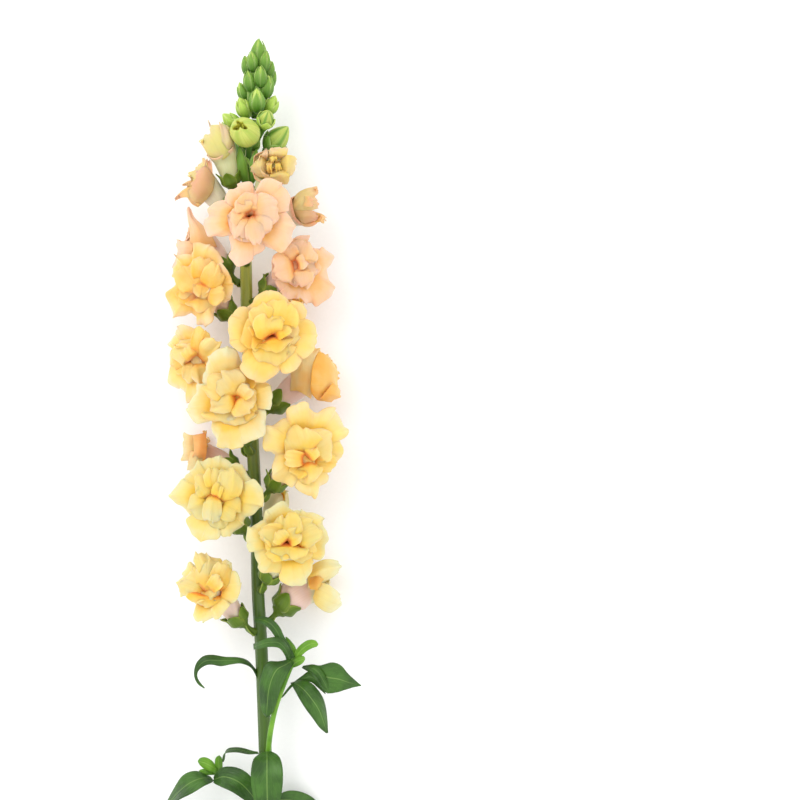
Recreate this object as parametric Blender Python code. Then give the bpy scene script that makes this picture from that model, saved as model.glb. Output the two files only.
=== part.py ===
"""Cut stem of a double (azalea-flowered) snapdragon, lying on its back on a table.

Metres, +Z up. The stem runs along +Y with its tip at +Y and its slanted cut end at -Y,
the best side of the flowers faces +Z, and the lowest petals, leaves and the cut end rest on Z = 0.
Every organ that comes off the plant in one piece is one solid: the stem, each corolla (tube,
skirt of five lobes and the tuft of extra petals in its throat are fused in a real flower),
each flower stalk with its calyx, each bud or half-open flower, the packed tip of the spike,
each leaf and each leafy side shoot.
"""
import math

import bmesh
import bpy
from mathutils import Vector

# ------------------------------------------------------------------ driving dimensions
UNIT = 0.0005            # the front view of the stem is laid out on a grid of half millimetres
EYE = 1.2                # ... as seen from this far above the stem's axis
AXIS_Z = 0.025           # height of the stem's axis above the table at the flowers
GAP = 0.0003             # clearance between pieces that touch on the plant
STALK_R = 0.0012         # radius of a flower stalk
STALK_L = 0.0055         # its length
CALYX_L = 0.0085         # length of the green cup of five sepals
CALYX_R = 0.0056         # outer radius of the cup
CALYX_WALL = 0.0007
SKIRT_T = 0.0011         # thickness of a corolla's skirt of petals
LEAF_T = 0.0011          # thickness of a leaf at its midrib

# Stem axis, top to cut end: grid x, grid y, height in mm, radius in mm
STEM = [
    (254, 120, 25.0, 1.9),
    (252.5, 132, 25.2, 2.2),
    (249.5, 160, 25.5, 2.5),
    (246.5, 215, 26.0, 2.8),
    (246, 280, 26.0, 3.0),
    (249, 370, 25.5, 3.05),
    (253, 450, 25.0, 3.1),
    (256.5, 520, 24.2, 3.1),
    (258, 590, 23.0, 3.15),
    (261.5, 650, 21.5, 3.2),
    (265, 740, 18.5, 3.25),
    (269, 850, 14.5, 3.3),
    (272, 960, 10.2, 3.35),
    (273.5, 1070, 6.2, 3.4),
    (273, 1150, 3.8, 3.45),
    (272.5, 1185, 3.3, 3.5),
]

# Open flowers: grid x and y of the throat, its height (mm), the way the flower faces, skirt radius (mm),
# grid y where its stalk leaves the stem, turn of the lobes (degrees), length of each of the five lobes
FLOWERS = {
    1: (249, 219, 58.5, (0.04, -0.03, 1.0), 22.5, 262, 8, (1.0, 1.05, 1.08, 1.0, 1.0)),
    2: (200, 243, 18.5, (-0.78, 0.35, -0.10), 19.5, 282, 20, (1.0, 1.0, 1.0, 1.0, 1.0)),
    3: (198, 284, 43.5, (-0.48, -0.05, 0.86), 21.0, 326, 30, (1.0, 1.0, 1.05, 1.0, 1.0)),
    4: (300, 268, 40.0, (0.58, -0.05, 0.78), 18.5, 302, 10, (1.0, 0.9, 1.0, 1.1, 1.0)),
    5: (271, 334, 60.0, (0.14, 0.02, 1.0), 24.0, 378, 15, (1.0, 1.0, 1.0, 1.05, 1.0)),
    6: (190, 360, 31.0, (-0.66, -0.28, 0.66), 20.5, 396, 0, (1.0, 1.0, 1.0, 1.0, 1.0)),
    7: (232, 401, 54.0, (-0.16, 0.00, 1.0), 24.0, 450, 25, (1.0, 1.0, 1.05, 1.0, 1.0)),
    8: (315, 374, 19.3, (0.85, 0.42, 0.12), 19.5, 418, 12, (1.0, 1.0, 1.0, 1.0, 1.0)),
    9: (305, 449, 42.0, (0.40, -0.05, 0.88), 22.5, 498, 5, (1.03, 1.0, 1.0, 1.06, 1.0)),
    10: (200, 455, 17.0, (-0.95, 0.0, -0.05), 17.5, 474, 0, (1.0, 1.0, 1.0, 1.0, 1.0)),
    11: (217, 495, 46.0, (-0.26, 0.0, 0.95), 23.0, 538, 18, (1.0, 1.0, 1.05, 1.0, 1.0)),
    12: (288, 540, 51.0, (0.22, 0.0, 0.97), 21.8, 588, 0, (1.0, 1.0, 1.0, 1.0, 1.06)),
    13: (207, 587, 38.0, (-0.56, 0.22, 0.76), 20.5, 630, 22, (1.0, 1.0, 1.0, 1.0, 1.0)),
    14: (313, 589, 17.7, (0.92, 0.0, -0.10), 18.0, 622, 10, (1.0, 1.0, 1.0, 1.0, 1.0)),
    15: (281, 300, 13.5, (0.62, 0.10, -0.62), 17.0, 346, 10, (1.0, 1.0, 1.0, 1.0, 1.0)),
    16: (224, 398, 12.8, (-0.62, 0.10, -0.66), 17.0, 452, 10, (1.0, 1.0, 1.0, 1.0, 1.0)),
    17: (281, 500, 12.9, (0.60, 0.05, -0.66), 17.0, 545, 10, (1.0, 1.0, 1.0, 1.0, 1.0)),
}

# Flowers that are only opening: cups, with the skirt still upright and toothed
OPENING = {
    1: (201, 185, 33.0, (-0.75, 0.38, 0.42), 10.0, 224, 10, (1.0, 1.1, 1.0, 1.0, 1.1)),
    2: (299, 210, 33.0, (0.85, 0.22, 0.38), 10.0, 245, 0, (1.1, 1.0, 1.0, 1.1, 1.0)),
    3: (221, 149, 35.0, (-0.42, 0.66, 0.52), 10.0, 198, 20, (1.0, 1.0, 1.0, 1.0, 1.0)),
    4: (272, 168, 42.0, (0.18, 0.28, 0.93), 11.0, 212, 0, (1.0, 1.0, 1.0, 1.0, 1.0)),
}

# Closed buds below the tip: grid x, y and height of the middle, the way it points, length and width (mm), grid y on stem
BUDS = {
    1: (246, 133, 41.0, (-0.12, 0.25, 0.95), 15.0, 14.0, 168),
    2: (266, 119, 38.5, (0.25, 0.60, 0.75), 12.0, 9.0, 146),
    3: (277, 139, 28.5, (0.66, 0.70, 0.20), 17.0, 12.5, 170),
    4: (231.5, 122, 28.0, (-0.65, 0.60, 0.15), 12.0, 8.2, 146),
    5: (244, 146, 13.0, (-0.15, 0.60, -0.70), 13.5, 9.8, 172),
}

# Leaves: points along the midrib (grid x, grid y, height mm), greatest width (mm), the way the upper face looks,
# keel (share of the width by which the blade is folded up along its midrib)
LEAVES = {
    "leaf_upper_left": ([(256, 672, 22), (247, 664, 27), (232, 660, 29), (214, 659, 30), (200, 663, 28), (195, 674, 25), (198, 684, 23)], 5.0, (0, 0.9, 0.45), 0.15),
    "leaf_arch_upper": ([(291, 655, 34), (284, 643, 36), (275, 629, 37), (264, 620, 36), (253, 617, 31)], 4.6, (0.1, 0.3, 1), 0.1),
    "leaf_arch_lower": ([(290, 657, 37), (283, 649, 40), (274, 644, 40), (264, 644, 37), (254, 646, 31)], 4.6, (0, 0.3, 1), 0.1),
    "leaf_center": ([(290, 663, 36), (282, 668, 42), (276, 680, 44), (272, 699, 41), (267, 719, 33)], 13.0, (-0.2, 0.35, 1), 0.08),
    "leaf_right_far": ([(303, 678, 25), (313, 674, 29), (328, 676, 31), (345, 682, 29), (360, 687, 24)], 13.0, (0.1, 0.6, 0.8), 0.12),
    "leaf_right_low": ([(295, 684, 20), (305, 690, 27), (314, 703, 29), (322, 718, 25), (327, 733, 18)], 12.5, (0.5, 0.1, 0.9), 0.10),
    "leaf_small_left": ([(258, 753, 20), (247, 752, 23), (235, 750, 24), (226, 752, 22), (223, 762, 18)], 4.2, (0, 0.9, 0.5), 0.12),
    "leaf_bottom_center": ([(267, 752, 27), (267, 762, 34), (267, 785, 37), (268, 812, 32), (271, 840, 24)], 16.0, (0, 0.35, 1), 0.10),
    "leaf_bottom_left": ([(214, 780, 15), (225, 777, 21), (240, 783, 23), (253, 797, 20), (262, 814, 12)], 12.5, (0.1, 0.4, 0.9), 0.10),
    "leaf_far_left": ([(212, 779, 12), (200, 779, 18), (186, 786, 18), (172, 800, 12), (160, 820, 4)], 12.5, (-0.1, 0.7, 0.7), 0.10),
    "leaf_low_right": ([(276, 872, 17), (290, 866, 22), (308, 868, 20), (326, 880, 12), (338, 896, 3.5)], 12.0, (0.2, 0.5, 0.9), 0.12),
    "leaf_low_left": ([(264, 905, 12), (252, 900, 16), (236, 903, 15), (220, 914, 9), (208, 930, 2.5)], 11.0, (-0.2, 0.5, 0.9), 0.12),
    "leaf_low_back": ([(276, 800, 12), (290, 800, 10), (306, 806, 6), (322, 818, 2.5), (336, 834, 1.2)], 11.0, (0.1, 0.3, 1), 0.10),
}

# Side shoots: a stalk from the stem (points as above) and its leaflets (points, width mm)
SHOOTS = {
    "side_shoot_right": (
        [(268, 756, 24), (270, 735, 29), (275, 710, 34), (284, 684, 35), (293, 662, 31)],
        [([(293, 662, 31), (300, 652, 33), (309, 645, 33), (317, 643, 31)], 4.4), ([(293, 662, 31), (299, 660, 35), (304, 657, 36)], 3.6), ([(293, 662, 31), (289, 650, 28), (286, 638, 25)], 3.4)],
    ),
    "side_shoot_left": (
        [(262, 800, 10), (248, 796, 9), (232, 788, 9), (219, 778, 9), (214, 770, 11)],
        [([(214, 770, 11), (208, 765, 15), (200, 759, 16)], 4.2), ([(214, 770, 11), (217, 764, 16), (220, 757, 18)], 3.4), ([(214, 770, 11), (206, 770, 12), (199, 773, 10)], 3.2)],
    ),
}

# Packed green buds of the spike's tip: grid x, y, height (mm), way they point, length, width (mm)
TIP = [
    (258.5, 54, 27.0, (0.02, 1.0, 0.05), 15.0, 8.6),
    (252.5, 62, 30.5, (-0.10, 1.0, 0.20), 10.5, 5.6),
    (264.5, 62, 29.5, (0.15, 1.0, 0.10), 11.0, 5.6),
    (257.0, 66, 23.5, (0.0, 1.0, -0.25), 10.0, 5.6),
    (246.5, 66, 27.0, (-0.10, 1.0, 0.0), 10.0, 4.8),
    (269.5, 70, 26.0, (0.18, 1.0, -0.05), 9.5, 5.0),
    (260.5, 77, 32.0, (0.02, 1.0, 0.22), 11.0, 6.4),
    (249.5, 82, 30.0, (-0.18, 1.0, 0.20), 11.0, 6.2),
    (254.5, 80, 20.0, (-0.05, 1.0, -0.35), 10.5, 6.0),
    (267.0, 87, 29.0, (0.15, 1.0, 0.15), 12.0, 6.6),
    (271.0, 80, 24.0, (0.30, 1.0, -0.1), 9.5, 5.0),
    (243.0, 92, 26.0, (-0.38, 1.0, 0.0), 10.5, 6.0),
    (257.0, 101, 34.0, (0.0, 1.0, 0.38), 13.0, 8.2),
    (243.5, 108, 29.5, (-0.40, 1.0, 0.25), 11.5, 8.0),
    (271.0, 105, 27.5, (0.48, 1.0, 0.10), 10.5, 7.6),
    (261.0, 97, 17.5, (0.12, 1.0, -0.45), 11.5, 7.2),
    (247.0, 104, 18.5, (-0.25, 1.0, -0.45), 11.0, 7.0),
    (257.0, 105.5, 25.0, (0.05, 1.0, 0.0), 13.0, 12.0),
]

COLOURS = {  # base colour, roughness
    "petal_peach": ((0.95, 0.62, 0.42), 0.55),
    "petal_yellow": ((0.96, 0.76, 0.36), 0.55),
    "petal_bronze": ((0.82, 0.60, 0.38), 0.55),
    "bud_green": ((0.45, 0.62, 0.20), 0.50),
    "calyx_green": ((0.20, 0.36, 0.07), 0.55),
    "leaf_green": ((0.14, 0.32, 0.08), 0.50),
    "stem_green": ((0.18, 0.33, 0.08), 0.50),
}


# ------------------------------------------------------------------ small helpers
def spot(x, y, z_mm):
    """Grid position in the front view, at a height in mm, as a point in metres.
    Grid x 400, y 400 is straight below the eye, and higher things look larger from there."""
    z = z_mm / 1000
    k = (EYE - (z - AXIS_Z)) / EYE
    return Vector(((x - 400) * UNIT * k, (400 - y) * UNIT * k, z))


def catmull(points, t):
    """Point on a smooth curve through the points, with t from 0 to 1 along it."""
    n = len(points) - 1
    s = min(max(t, 0.0), 1.0) * n
    i = min(int(s), n - 1)
    f = s - i
    p1, p2 = points[i], points[i + 1]
    p0 = points[i - 1] if i > 0 else [2 * a - b for a, b in zip(p1, p2)]
    p3 = points[i + 2] if i + 2 <= n else [2 * b - a for a, b in zip(p1, p2)]
    return [
        0.5 * (2 * b + (c - a) * f + (2 * a - 5 * b + 4 * c - d) * f * f + (3 * b - a - 3 * c + d) * f**3)
        for a, b, c, d in zip(p0, p1, p2, p3)
    ]


def stem_at(y):
    """(point, way towards the tip, radius) of the stem's axis at grid y."""
    n = len(STEM) - 1
    for i in range(n):
        if STEM[i][1] <= y <= STEM[i + 1][1] or i == n - 1:
            lo, hi = i / n, (i + 1) / n
            for _ in range(30):
                mid = (lo + hi) / 2
                if catmull(STEM, mid)[1] < y:
                    lo = mid
                else:
                    hi = mid
            x, yy, z, r = catmull(STEM, lo)
            xa, ya, za, _ = catmull(STEM, max(lo - 0.01, 0))
            return spot(x, yy, z), (spot(xa, ya, za) - spot(x, yy, z)).normalized(), r / 1000


def frame_on(way, up=Vector((0, 0, 1))):
    """Two directions square to way, the second as near to up as it can be."""
    way = way.normalized()
    if abs(way.dot(up)) > 0.999:
        up = Vector((0, 1, 0))
    side = up.cross(way).normalized()
    return side, way.cross(side).normalized()


def material(slot):
    found = bpy.data.materials.get(slot)
    if found:
        return found
    made = bpy.data.materials.new(slot)
    made.use_nodes = True
    colour, rough = COLOURS[slot]
    bsdf = made.node_tree.nodes["Principled BSDF"]
    bsdf.inputs["Base Color"].default_value = (*colour, 1)
    bsdf.inputs["Roughness"].default_value = rough
    bsdf.inputs["Metallic"].default_value = 0.0
    made.diffuse_color = (*colour, 1)
    return made


def closed_form(name, rings, sides, shape, slot, collection):
    """A sphere of rings and sides whose points are moved to shape(ring, angle):
    ring 0 and the last ring are its two poles."""
    bm = bmesh.new()
    bmesh.ops.create_uvsphere(bm, u_segments=sides, v_segments=rings, radius=1)
    for v in bm.verts:
        ring = round(math.acos(max(-1.0, min(1.0, -v.co.z))) / math.pi * rings)
        v.co = shape(ring, math.atan2(v.co.y, v.co.x))
    if bm.calc_volume(signed=True) < 0:
        bmesh.ops.reverse_faces(bm, faces=bm.faces)
    mesh = bpy.data.meshes.new(name)
    bm.to_mesh(mesh)
    bm.free()
    mesh.shade_smooth()
    mesh.materials.append(material(slot))
    made = bpy.data.objects.new(name, mesh)
    collection.objects.link(made)
    return made


def stalk_curve(start, leave, end, arrive):
    """Cubic curve from the stem to a flower's throat. Returns f(distance) -> (point, way), and the length."""
    reach = (end - start).length
    a, b = start + leave * reach * 0.36, end - arrive * reach * 0.36
    line = []
    for i in range(41):
        t = i / 40
        line.append(start * (1 - t) ** 3 + a * 3 * t * (1 - t) ** 2 + b * 3 * t * t * (1 - t) + end * t**3)
    run = [0.0]
    for p, q in zip(line, line[1:]):
        run.append(run[-1] + (q - p).length)

    def at(s):
        s = min(max(s, 0.0), run[-1])
        i = max(k for k in range(40) if run[k] <= s)
        f = (s - run[i]) / (run[i + 1] - run[i])
        way = (line[i + 1] - line[i]).normalized()
        after = (line[min(i + 2, 40)] - line[min(i + 1, 39)]).normalized()
        return line[i].lerp(line[i + 1], f), way.lerp(after, f).normalized()

    return at, run[-1]


def route_of(entry):
    x, y, z, facing, _, y_stem = entry[:6]
    throat, facing = spot(x, y, z), Vector(facing).normalized()
    on_axis, up, r = stem_at(y_stem)
    out = throat - on_axis
    out = (out - up * out.dot(up)).normalized()
    start = on_axis + out * (r + GAP + STALK_R * 0.65)
    at, length = stalk_curve(start, (out * 0.85 + up * 0.6).normalized(), throat, facing)
    return at, length, throat, facing


# ------------------------------------------------------------------ the organs
def add_calyx(name, entry, collection, size=1.0):
    """Flower stalk widening into a cup of five pointed sepals, hollow for the corolla's tube."""
    at, _, _, _ = route_of(entry)
    foot, rim = STALK_L, STALK_L + CALYX_L * size
    r_out, wall = CALYX_R * size, CALYX_WALL
    # distance along the stalk and radius, from the end at the stem, up outside and down inside
    path = [
        (0.0, 0.0), (0.0, STALK_R), (foot - 0.001, STALK_R * 1.1), (foot + 0.0012, r_out * 0.72), (foot + CALYX_L * size * 0.45, r_out),
        (rim, r_out * 1.1), (rim - 0.0002, r_out * 1.1 - wall), (foot + CALYX_L * size * 0.45, r_out - wall), (foot + 0.0022, r_out * 0.72 - wall), (foot + 0.0019, 0.0),
    ]

    def shape(ring, angle):
        s, r = path[ring]
        if ring in (5, 6):  # sepal tips and the notches between them
            sepal = round(angle / (math.pi / 5)) % 2 == 0
            if not sepal:
                s -= CALYX_L * size * 0.42
                r *= 0.93
            else:
                s += 0.0
        point, way = at(s)
        side, up = frame_on(way)
        return point + (side * math.cos(angle) + up * math.sin(angle)) * r

    return closed_form(name, len(path) - 1, 10, shape, "calyx_green", collection)


def add_corolla(name, entry, slot, collection, opening=False, size=1.0):
    """Tube, spreading skirt of five lobes and the tuft of extra petals that fills the throat."""
    at, length, throat, facing = route_of(entry)
    radius, turn, lobes = entry[4] / 1000, math.radians(entry[6]), entry[7]
    clear = -GAP if opening else GAP  # an opening flower is one solid with its calyx
    base = STALK_L + 0.0019 + clear
    tube = CALYX_R * size * 0.72 - CALYX_WALL - clear
    room = CALYX_R * size - CALYX_WALL - clear
    calyx_end = STALK_L + CALYX_L * size
    side, up = frame_on(facing)
    last = length - 0.0025
    # forward of the throat, share of the skirt's radius
    if opening:
        front = [(0.000, 0.62, 0), (0.006, 0.92, 0), (0.0115, 0.86, 1), (0.0112, 0.74, 1), (0.0085, 0.66, 0), (0.0080, 0.40, 0), (0.0082, 0.22, 0), (0.0078, 0.0, 0)]
    else:
        front = [(-0.001, 0.42, 0), (0.0010, 0.70, 0.4), (0.0005, 1.0, 1), (0.0005 + SKIRT_T, 0.985, 1), (0.0010 + SKIRT_T, 0.72, 0.4), (0.0028, 0.60, 0.1), (0.0085, 0.50, 0), (0.0100, 0.22, 0), (0.0085, 0.0, 0)]
    back = [(base, 0.0), (base, tube * 0.86), (STALK_L + CALYX_L * size * 0.5, room * 0.93), (calyx_end + 0.0015, room * 1.02), ((calyx_end + last) / 2 + 0.002, room * 1.12)]
    rings = len(back) + len(front) - 1

    def shape(ring, angle):
        if ring < len(back):
            s, r = back[ring]
            point, way = at(s)
            a, b = frame_on(way)
            return point + (a * math.cos(angle) + b * math.sin(angle)) * r
        ahead, share, edge = front[ring - len(back)]
        turned = (angle - turn) % (2 * math.pi)
        lobe = int(turned / (2 * math.pi / 5)) % 5
        across = abs(turned / (2 * math.pi / 5) - lobe - 0.5) * 2  # 0 at a lobe's middle, 1 in the notch
        reach = radius * share * (1 + edge * (lobes[lobe] - 1)) * (1 - 0.15 * edge * across**3)
        if opening and edge:  # teeth of the still upright rim
            ahead -= 0.003 * across**2
        wave = 0.0011 * edge * math.cos(3 * turned + ring * 0.2) if not opening else 0.0
        if ahead > 0.006 and not opening:  # folds of the tuft
            reach *= 1 + 0.10 * math.cos(4 * turned + 1.0)
            ahead += 0.0008 * math.cos(4 * turned)
        way = side * math.cos(angle) + up * math.sin(angle)
        foot = throat + facing * (ahead + wave)
        floor = 0.0 if ring < len(back) + 3 else 0.0003
        if way.z < -1e-6 and foot.z + way.z * reach < floor:  # pressed flat against the table
            reach = (foot.z - floor) / -way.z
        return foot + way * reach

    return closed_form(name, rings, 15 if opening else 20, shape, slot, collection)


def add_bud(name, middle, way, long, wide, slot, collection, rings=7, sides=8, foot=None):
    """Egg-shaped bud; with foot, its short stalk runs down to that point by the stem."""
    way = way.normalized()
    side, up = frame_on(way)
    base = middle - way * long * 0.5
    profile = [0.0, 0.50, 0.86, 1.0, 0.93, 0.66, 0.30, 0.0]
    height = [0.0, 0.06, 0.25, 0.46, 0.66, 0.84, 0.955, 1.0]
    if foot is None:
        path = [(base + way * long * h, way, wide / 2 * r) for h, r in zip(height, profile)]
    else:
        bend = base - way * min(0.003, (base - foot).length * 0.3)
        path = [(foot, (bend - foot).normalized(), 0.0), (foot, (bend - foot).normalized(), STALK_R * 0.85), (foot.lerp(bend, 0.5).lerp(bend.lerp(base, 0.5), 0.5), (base - foot).normalized(), STALK_R * 0.85)]
        path += [(base + way * long * max(h, 0.015), way, wide / 2 * max(r, 0.22)) for h, r in list(zip(height, profile))[:-1]]
        path.append((base + way * long, way, 0.0))

    def shape(ring, angle):
        point, along, r = path[ring]
        a, b = frame_on(along)
        return point + (a * math.cos(angle) + b * math.sin(angle)) * r * (1 + 0.05 * math.cos(5 * angle))

    return closed_form(name, len(path) - 1, sides, shape, slot, collection)


def leaf_form(name, points, width, look, keel, slot, collection, rings=9, sides=8, stalk=0.0011, even=False):
    """Lance-shaped blade with a narrow base, along a curve, thickest at the midrib; even makes a plain stalk."""
    look = Vector(look).normalized()
    line = [spot(*catmull(points, i / rings)) for i in range(rings + 1)]

    def shape(ring, angle):
        t = ring / rings
        way = (line[min(ring + 1, rings)] - line[max(ring - 1, 0)]).normalized()
        across = way.cross(look).normalized()
        top = across.cross(way).normalized()
        broad = 0.0
        if 0 < ring < rings:
            broad = 1.0 if even else math.sin(math.pi * min(1.0, t * 0.93 + 0.07) ** 0.85) ** 0.9
        w = max(width / 2000 * broad, stalk * 0.75) if 0 < ring < rings else 0.0
        h = (w if even else LEAF_T / 2 * (1.15 - 0.55 * t)) if 0 < ring < rings else 0.0
        u = math.cos(angle)
        p = line[ring] + across * w * u + top * (h * math.sin(angle) + keel * w * abs(u) ** 1.5)
        p.z = max(p.z, 0.0 if math.sin(angle) <= 0.01 else h * math.sin(angle))
        return p

    return closed_form(name, rings, sides, shape, slot, collection)


def joined(name, objects, slot, collection):
    """The objects as one solid, by a Boolean union."""
    first, rest = objects[0], objects[1:]
    for i, other in enumerate(rest):
        union = first.modifiers.new(f"union_{i}", "BOOLEAN")
        union.operation, union.solver, union.object = "UNION", "EXACT", other
    bpy.context.view_layer.update()
    evaluated = first.evaluated_get(bpy.context.evaluated_depsgraph_get())
    mesh = bpy.data.meshes.new_from_object(evaluated)
    mesh.materials.clear()
    mesh.materials.append(material(slot))
    made = bpy.data.objects.new(name, mesh)
    collection.objects.link(made)
    for used in objects:
        bpy.data.objects.remove(used)
    return made


def add_stem(collection, cutters):
    """Tapering rod along the axis, cut at a slant at its lower end."""
    steps = 38
    curve = bpy.data.curves.new("main_stem_axis", "CURVE")
    curve.dimensions = "3D"
    curve.bevel_depth = 1.0
    curve.bevel_resolution = 3
    curve.use_fill_caps = True
    spline = curve.splines.new("POLY")
    spline.points.add(steps)
    for i in range(steps + 1):
        x, y, z, r = catmull(STEM, i / steps)
        spline.points[i].co = (*spot(x, y, z), 1)
        spline.points[i].radius = r / 1000
    guide = bpy.data.objects.new("main_stem_axis", curve)
    collection.objects.link(guide)
    bpy.context.view_layer.update()
    mesh = bpy.data.meshes.new_from_object(guide.evaluated_get(bpy.context.evaluated_depsgraph_get()))
    bm = bmesh.new()
    bm.from_mesh(mesh)
    bmesh.ops.remove_doubles(bm, verts=bm.verts, dist=0.00002)
    bmesh.ops.recalc_face_normals(bm, faces=bm.faces)
    for v in bm.verts:
        v.co.z = max(v.co.z, 0.0)
    bm.to_mesh(mesh)
    bm.free()
    bpy.data.objects.remove(guide)
    stem = bpy.data.objects.new("main_stem", mesh)
    mesh.materials.clear()
    mesh.materials.append(material("stem_green"))
    mesh.shade_smooth()
    collection.objects.link(stem)
    # the slanting cut
    bpy.ops.mesh.primitive_cube_add(size=0.03)
    knife = bpy.context.active_object
    knife.name = "cut_end_knife"
    for holder in list(knife.users_collection):
        holder.objects.unlink(knife)
    cutters.objects.link(knife)
    end, up, _ = stem_at(1181)
    knife.rotation_euler = (math.radians(0), math.radians(0), math.radians(38))
    knife.location = end - Vector((math.sin(math.radians(-38)), math.cos(math.radians(-38)), 0)) * 0.0165
    knife.hide_render = True
    knife.display_type = "WIRE"
    cut = stem.modifiers.new("slanting_cut", "BOOLEAN")
    cut.operation, cut.solver, cut.object = "DIFFERENCE", "EXACT", knife
    return stem


# ------------------------------------------------------------------ build
def main():
    for old in list(bpy.data.objects):
        bpy.data.objects.remove(old)
    scene = bpy.context.scene.collection
    plant = bpy.data.collections.new("snapdragon_stem")
    cutters = bpy.data.collections.new("cutters")
    scene.children.link(plant)
    scene.children.link(cutters)
    cutters.hide_render = True

    add_stem(plant, cutters)
    for n, entry in FLOWERS.items():
        tone = "petal_peach" if n in (1, 2, 4, 8, 10) else "petal_yellow"
        add_calyx(f"flower_{n:02d}_calyx", entry, plant)
        add_corolla(f"flower_{n:02d}_corolla", entry, tone, plant)
    for n, entry in OPENING.items():
        cup = add_calyx(f"cup_{n}", entry, plant, size=0.92)
        petals = add_corolla(f"petals_{n}", entry, "petal_bronze", plant, opening=True, size=0.92)
        joined(f"opening_flower_{n}", [petals, cup], "petal_bronze", plant)
    for n, (x, y, z, way, long, wide, y_stem) in BUDS.items():
        middle = spot(x, y, z)
        on_axis, up, r = stem_at(y_stem)
        out = middle - on_axis
        out = (out - up * out.dot(up)).normalized()
        add_bud(f"bud_{n}", middle, Vector(way), long / 1000, wide / 1000, "bud_green", plant, foot=on_axis + out * (r + GAP + STALK_R))
    top, up, r = stem_at(STEM[0][1])
    crown = spot(*TIP[0][:3])
    foot = top + up * GAP * 2
    core = add_bud("core", (foot + crown) / 2, crown - foot, (crown - foot).length, 0.0105, "bud_green", plant)
    buds = [core]
    for i, (x, y, z, way, long, wide) in enumerate(TIP):
        buds.append(add_bud(f"tip_{i}", spot(x, y, z), Vector(way), long / 1000, wide / 1000, "bud_green", plant, sides=6))
    joined("bud_tip", buds, "bud_green", plant)
    for name, (points, width, look, keel) in LEAVES.items():
        leaf_form(name, points, width, look, keel, "leaf_green", plant)
    for name, (stalk, leaflets) in SHOOTS.items():
        pieces = [leaf_form(f"{name}_stalk", stalk, 2.6, (0, 0.2, 1), 0.0, "leaf_green", plant, rings=9, sides=8, even=True)]
        for i, (points, width) in enumerate(leaflets):
            inside = catmull(stalk, 0.93)
            pieces.append(leaf_form(f"{name}_{i}", [inside] + points[1:], width, (0, 0.3, 1), 0.1, "leaf_green", plant, rings=6, sides=6))
        joined(name, pieces, "leaf_green", plant)

    # the origin goes under the middle of the whole, on the table
    bpy.context.view_layer.update()
    graph = bpy.context.evaluated_depsgraph_get()
    corners = [o.evaluated_get(graph).matrix_world @ Vector(c) for o in plant.objects for c in o.evaluated_get(graph).bound_box]
    low = [min(c[i] for c in corners) for i in range(3)]
    high = [max(c[i] for c in corners) for i in range(3)]
    shift = Vector((-(low[0] + high[0]) / 2, -(low[1] + high[1]) / 2, -low[2]))
    print("shift to the origin:", [round(v, 6) for v in shift], "size:", [round(b - a, 5) for a, b in zip(low, high)])
    base = bpy.data.objects.new("stem_origin", None)
    plant.objects.link(base)
    base.location = shift
    for o in plant.objects:
        if o is not base:
            o.parent = base
    for o in cutters.objects:
        o.parent = base


main()
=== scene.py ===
"""Looks of the snapdragon stem: every petal, sepal, bud scale, leaf and the stem's skin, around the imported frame."""
import math

import bpy
import numpy as np
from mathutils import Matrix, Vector


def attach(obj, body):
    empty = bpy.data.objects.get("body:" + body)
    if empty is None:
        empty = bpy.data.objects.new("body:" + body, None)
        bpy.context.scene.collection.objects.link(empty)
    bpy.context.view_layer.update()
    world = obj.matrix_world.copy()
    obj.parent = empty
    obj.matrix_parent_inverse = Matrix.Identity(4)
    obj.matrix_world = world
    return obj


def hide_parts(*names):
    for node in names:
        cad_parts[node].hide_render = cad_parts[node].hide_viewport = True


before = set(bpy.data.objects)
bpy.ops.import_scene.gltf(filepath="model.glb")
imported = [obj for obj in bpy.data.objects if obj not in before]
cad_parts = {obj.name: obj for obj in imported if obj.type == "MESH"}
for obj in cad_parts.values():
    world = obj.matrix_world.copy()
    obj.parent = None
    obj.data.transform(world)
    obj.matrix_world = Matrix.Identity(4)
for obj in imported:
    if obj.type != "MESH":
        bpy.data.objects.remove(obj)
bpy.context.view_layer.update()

# ------------------------------------------------------------------ layout, as in the solids
UNIT = 0.0005
EYE = 1.2
AXIS_Z = 0.025
SHIFT = np.array((0.071058, 0.109726, 0.0))
STALK_L = 0.0055
CALYX_L = 0.0085
CALYX_R = 0.0056

STEM = [
    (254, 120, 25.0, 1.9),
    (252.5, 132, 25.2, 2.2),
    (249.5, 160, 25.5, 2.5),
    (246.5, 215, 26.0, 2.8),
    (246, 280, 26.0, 3.0),
    (249, 370, 25.5, 3.05),
    (253, 450, 25.0, 3.1),
    (256.5, 520, 24.2, 3.1),
    (258, 590, 23.0, 3.15),
    (261.5, 650, 21.5, 3.2),
    (265, 740, 18.5, 3.25),
    (269, 850, 14.5, 3.3),
    (272, 960, 10.2, 3.35),
    (273.5, 1070, 6.2, 3.4),
    (273, 1150, 3.8, 3.45),
    (272.5, 1185, 3.3, 3.5),
]

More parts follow.
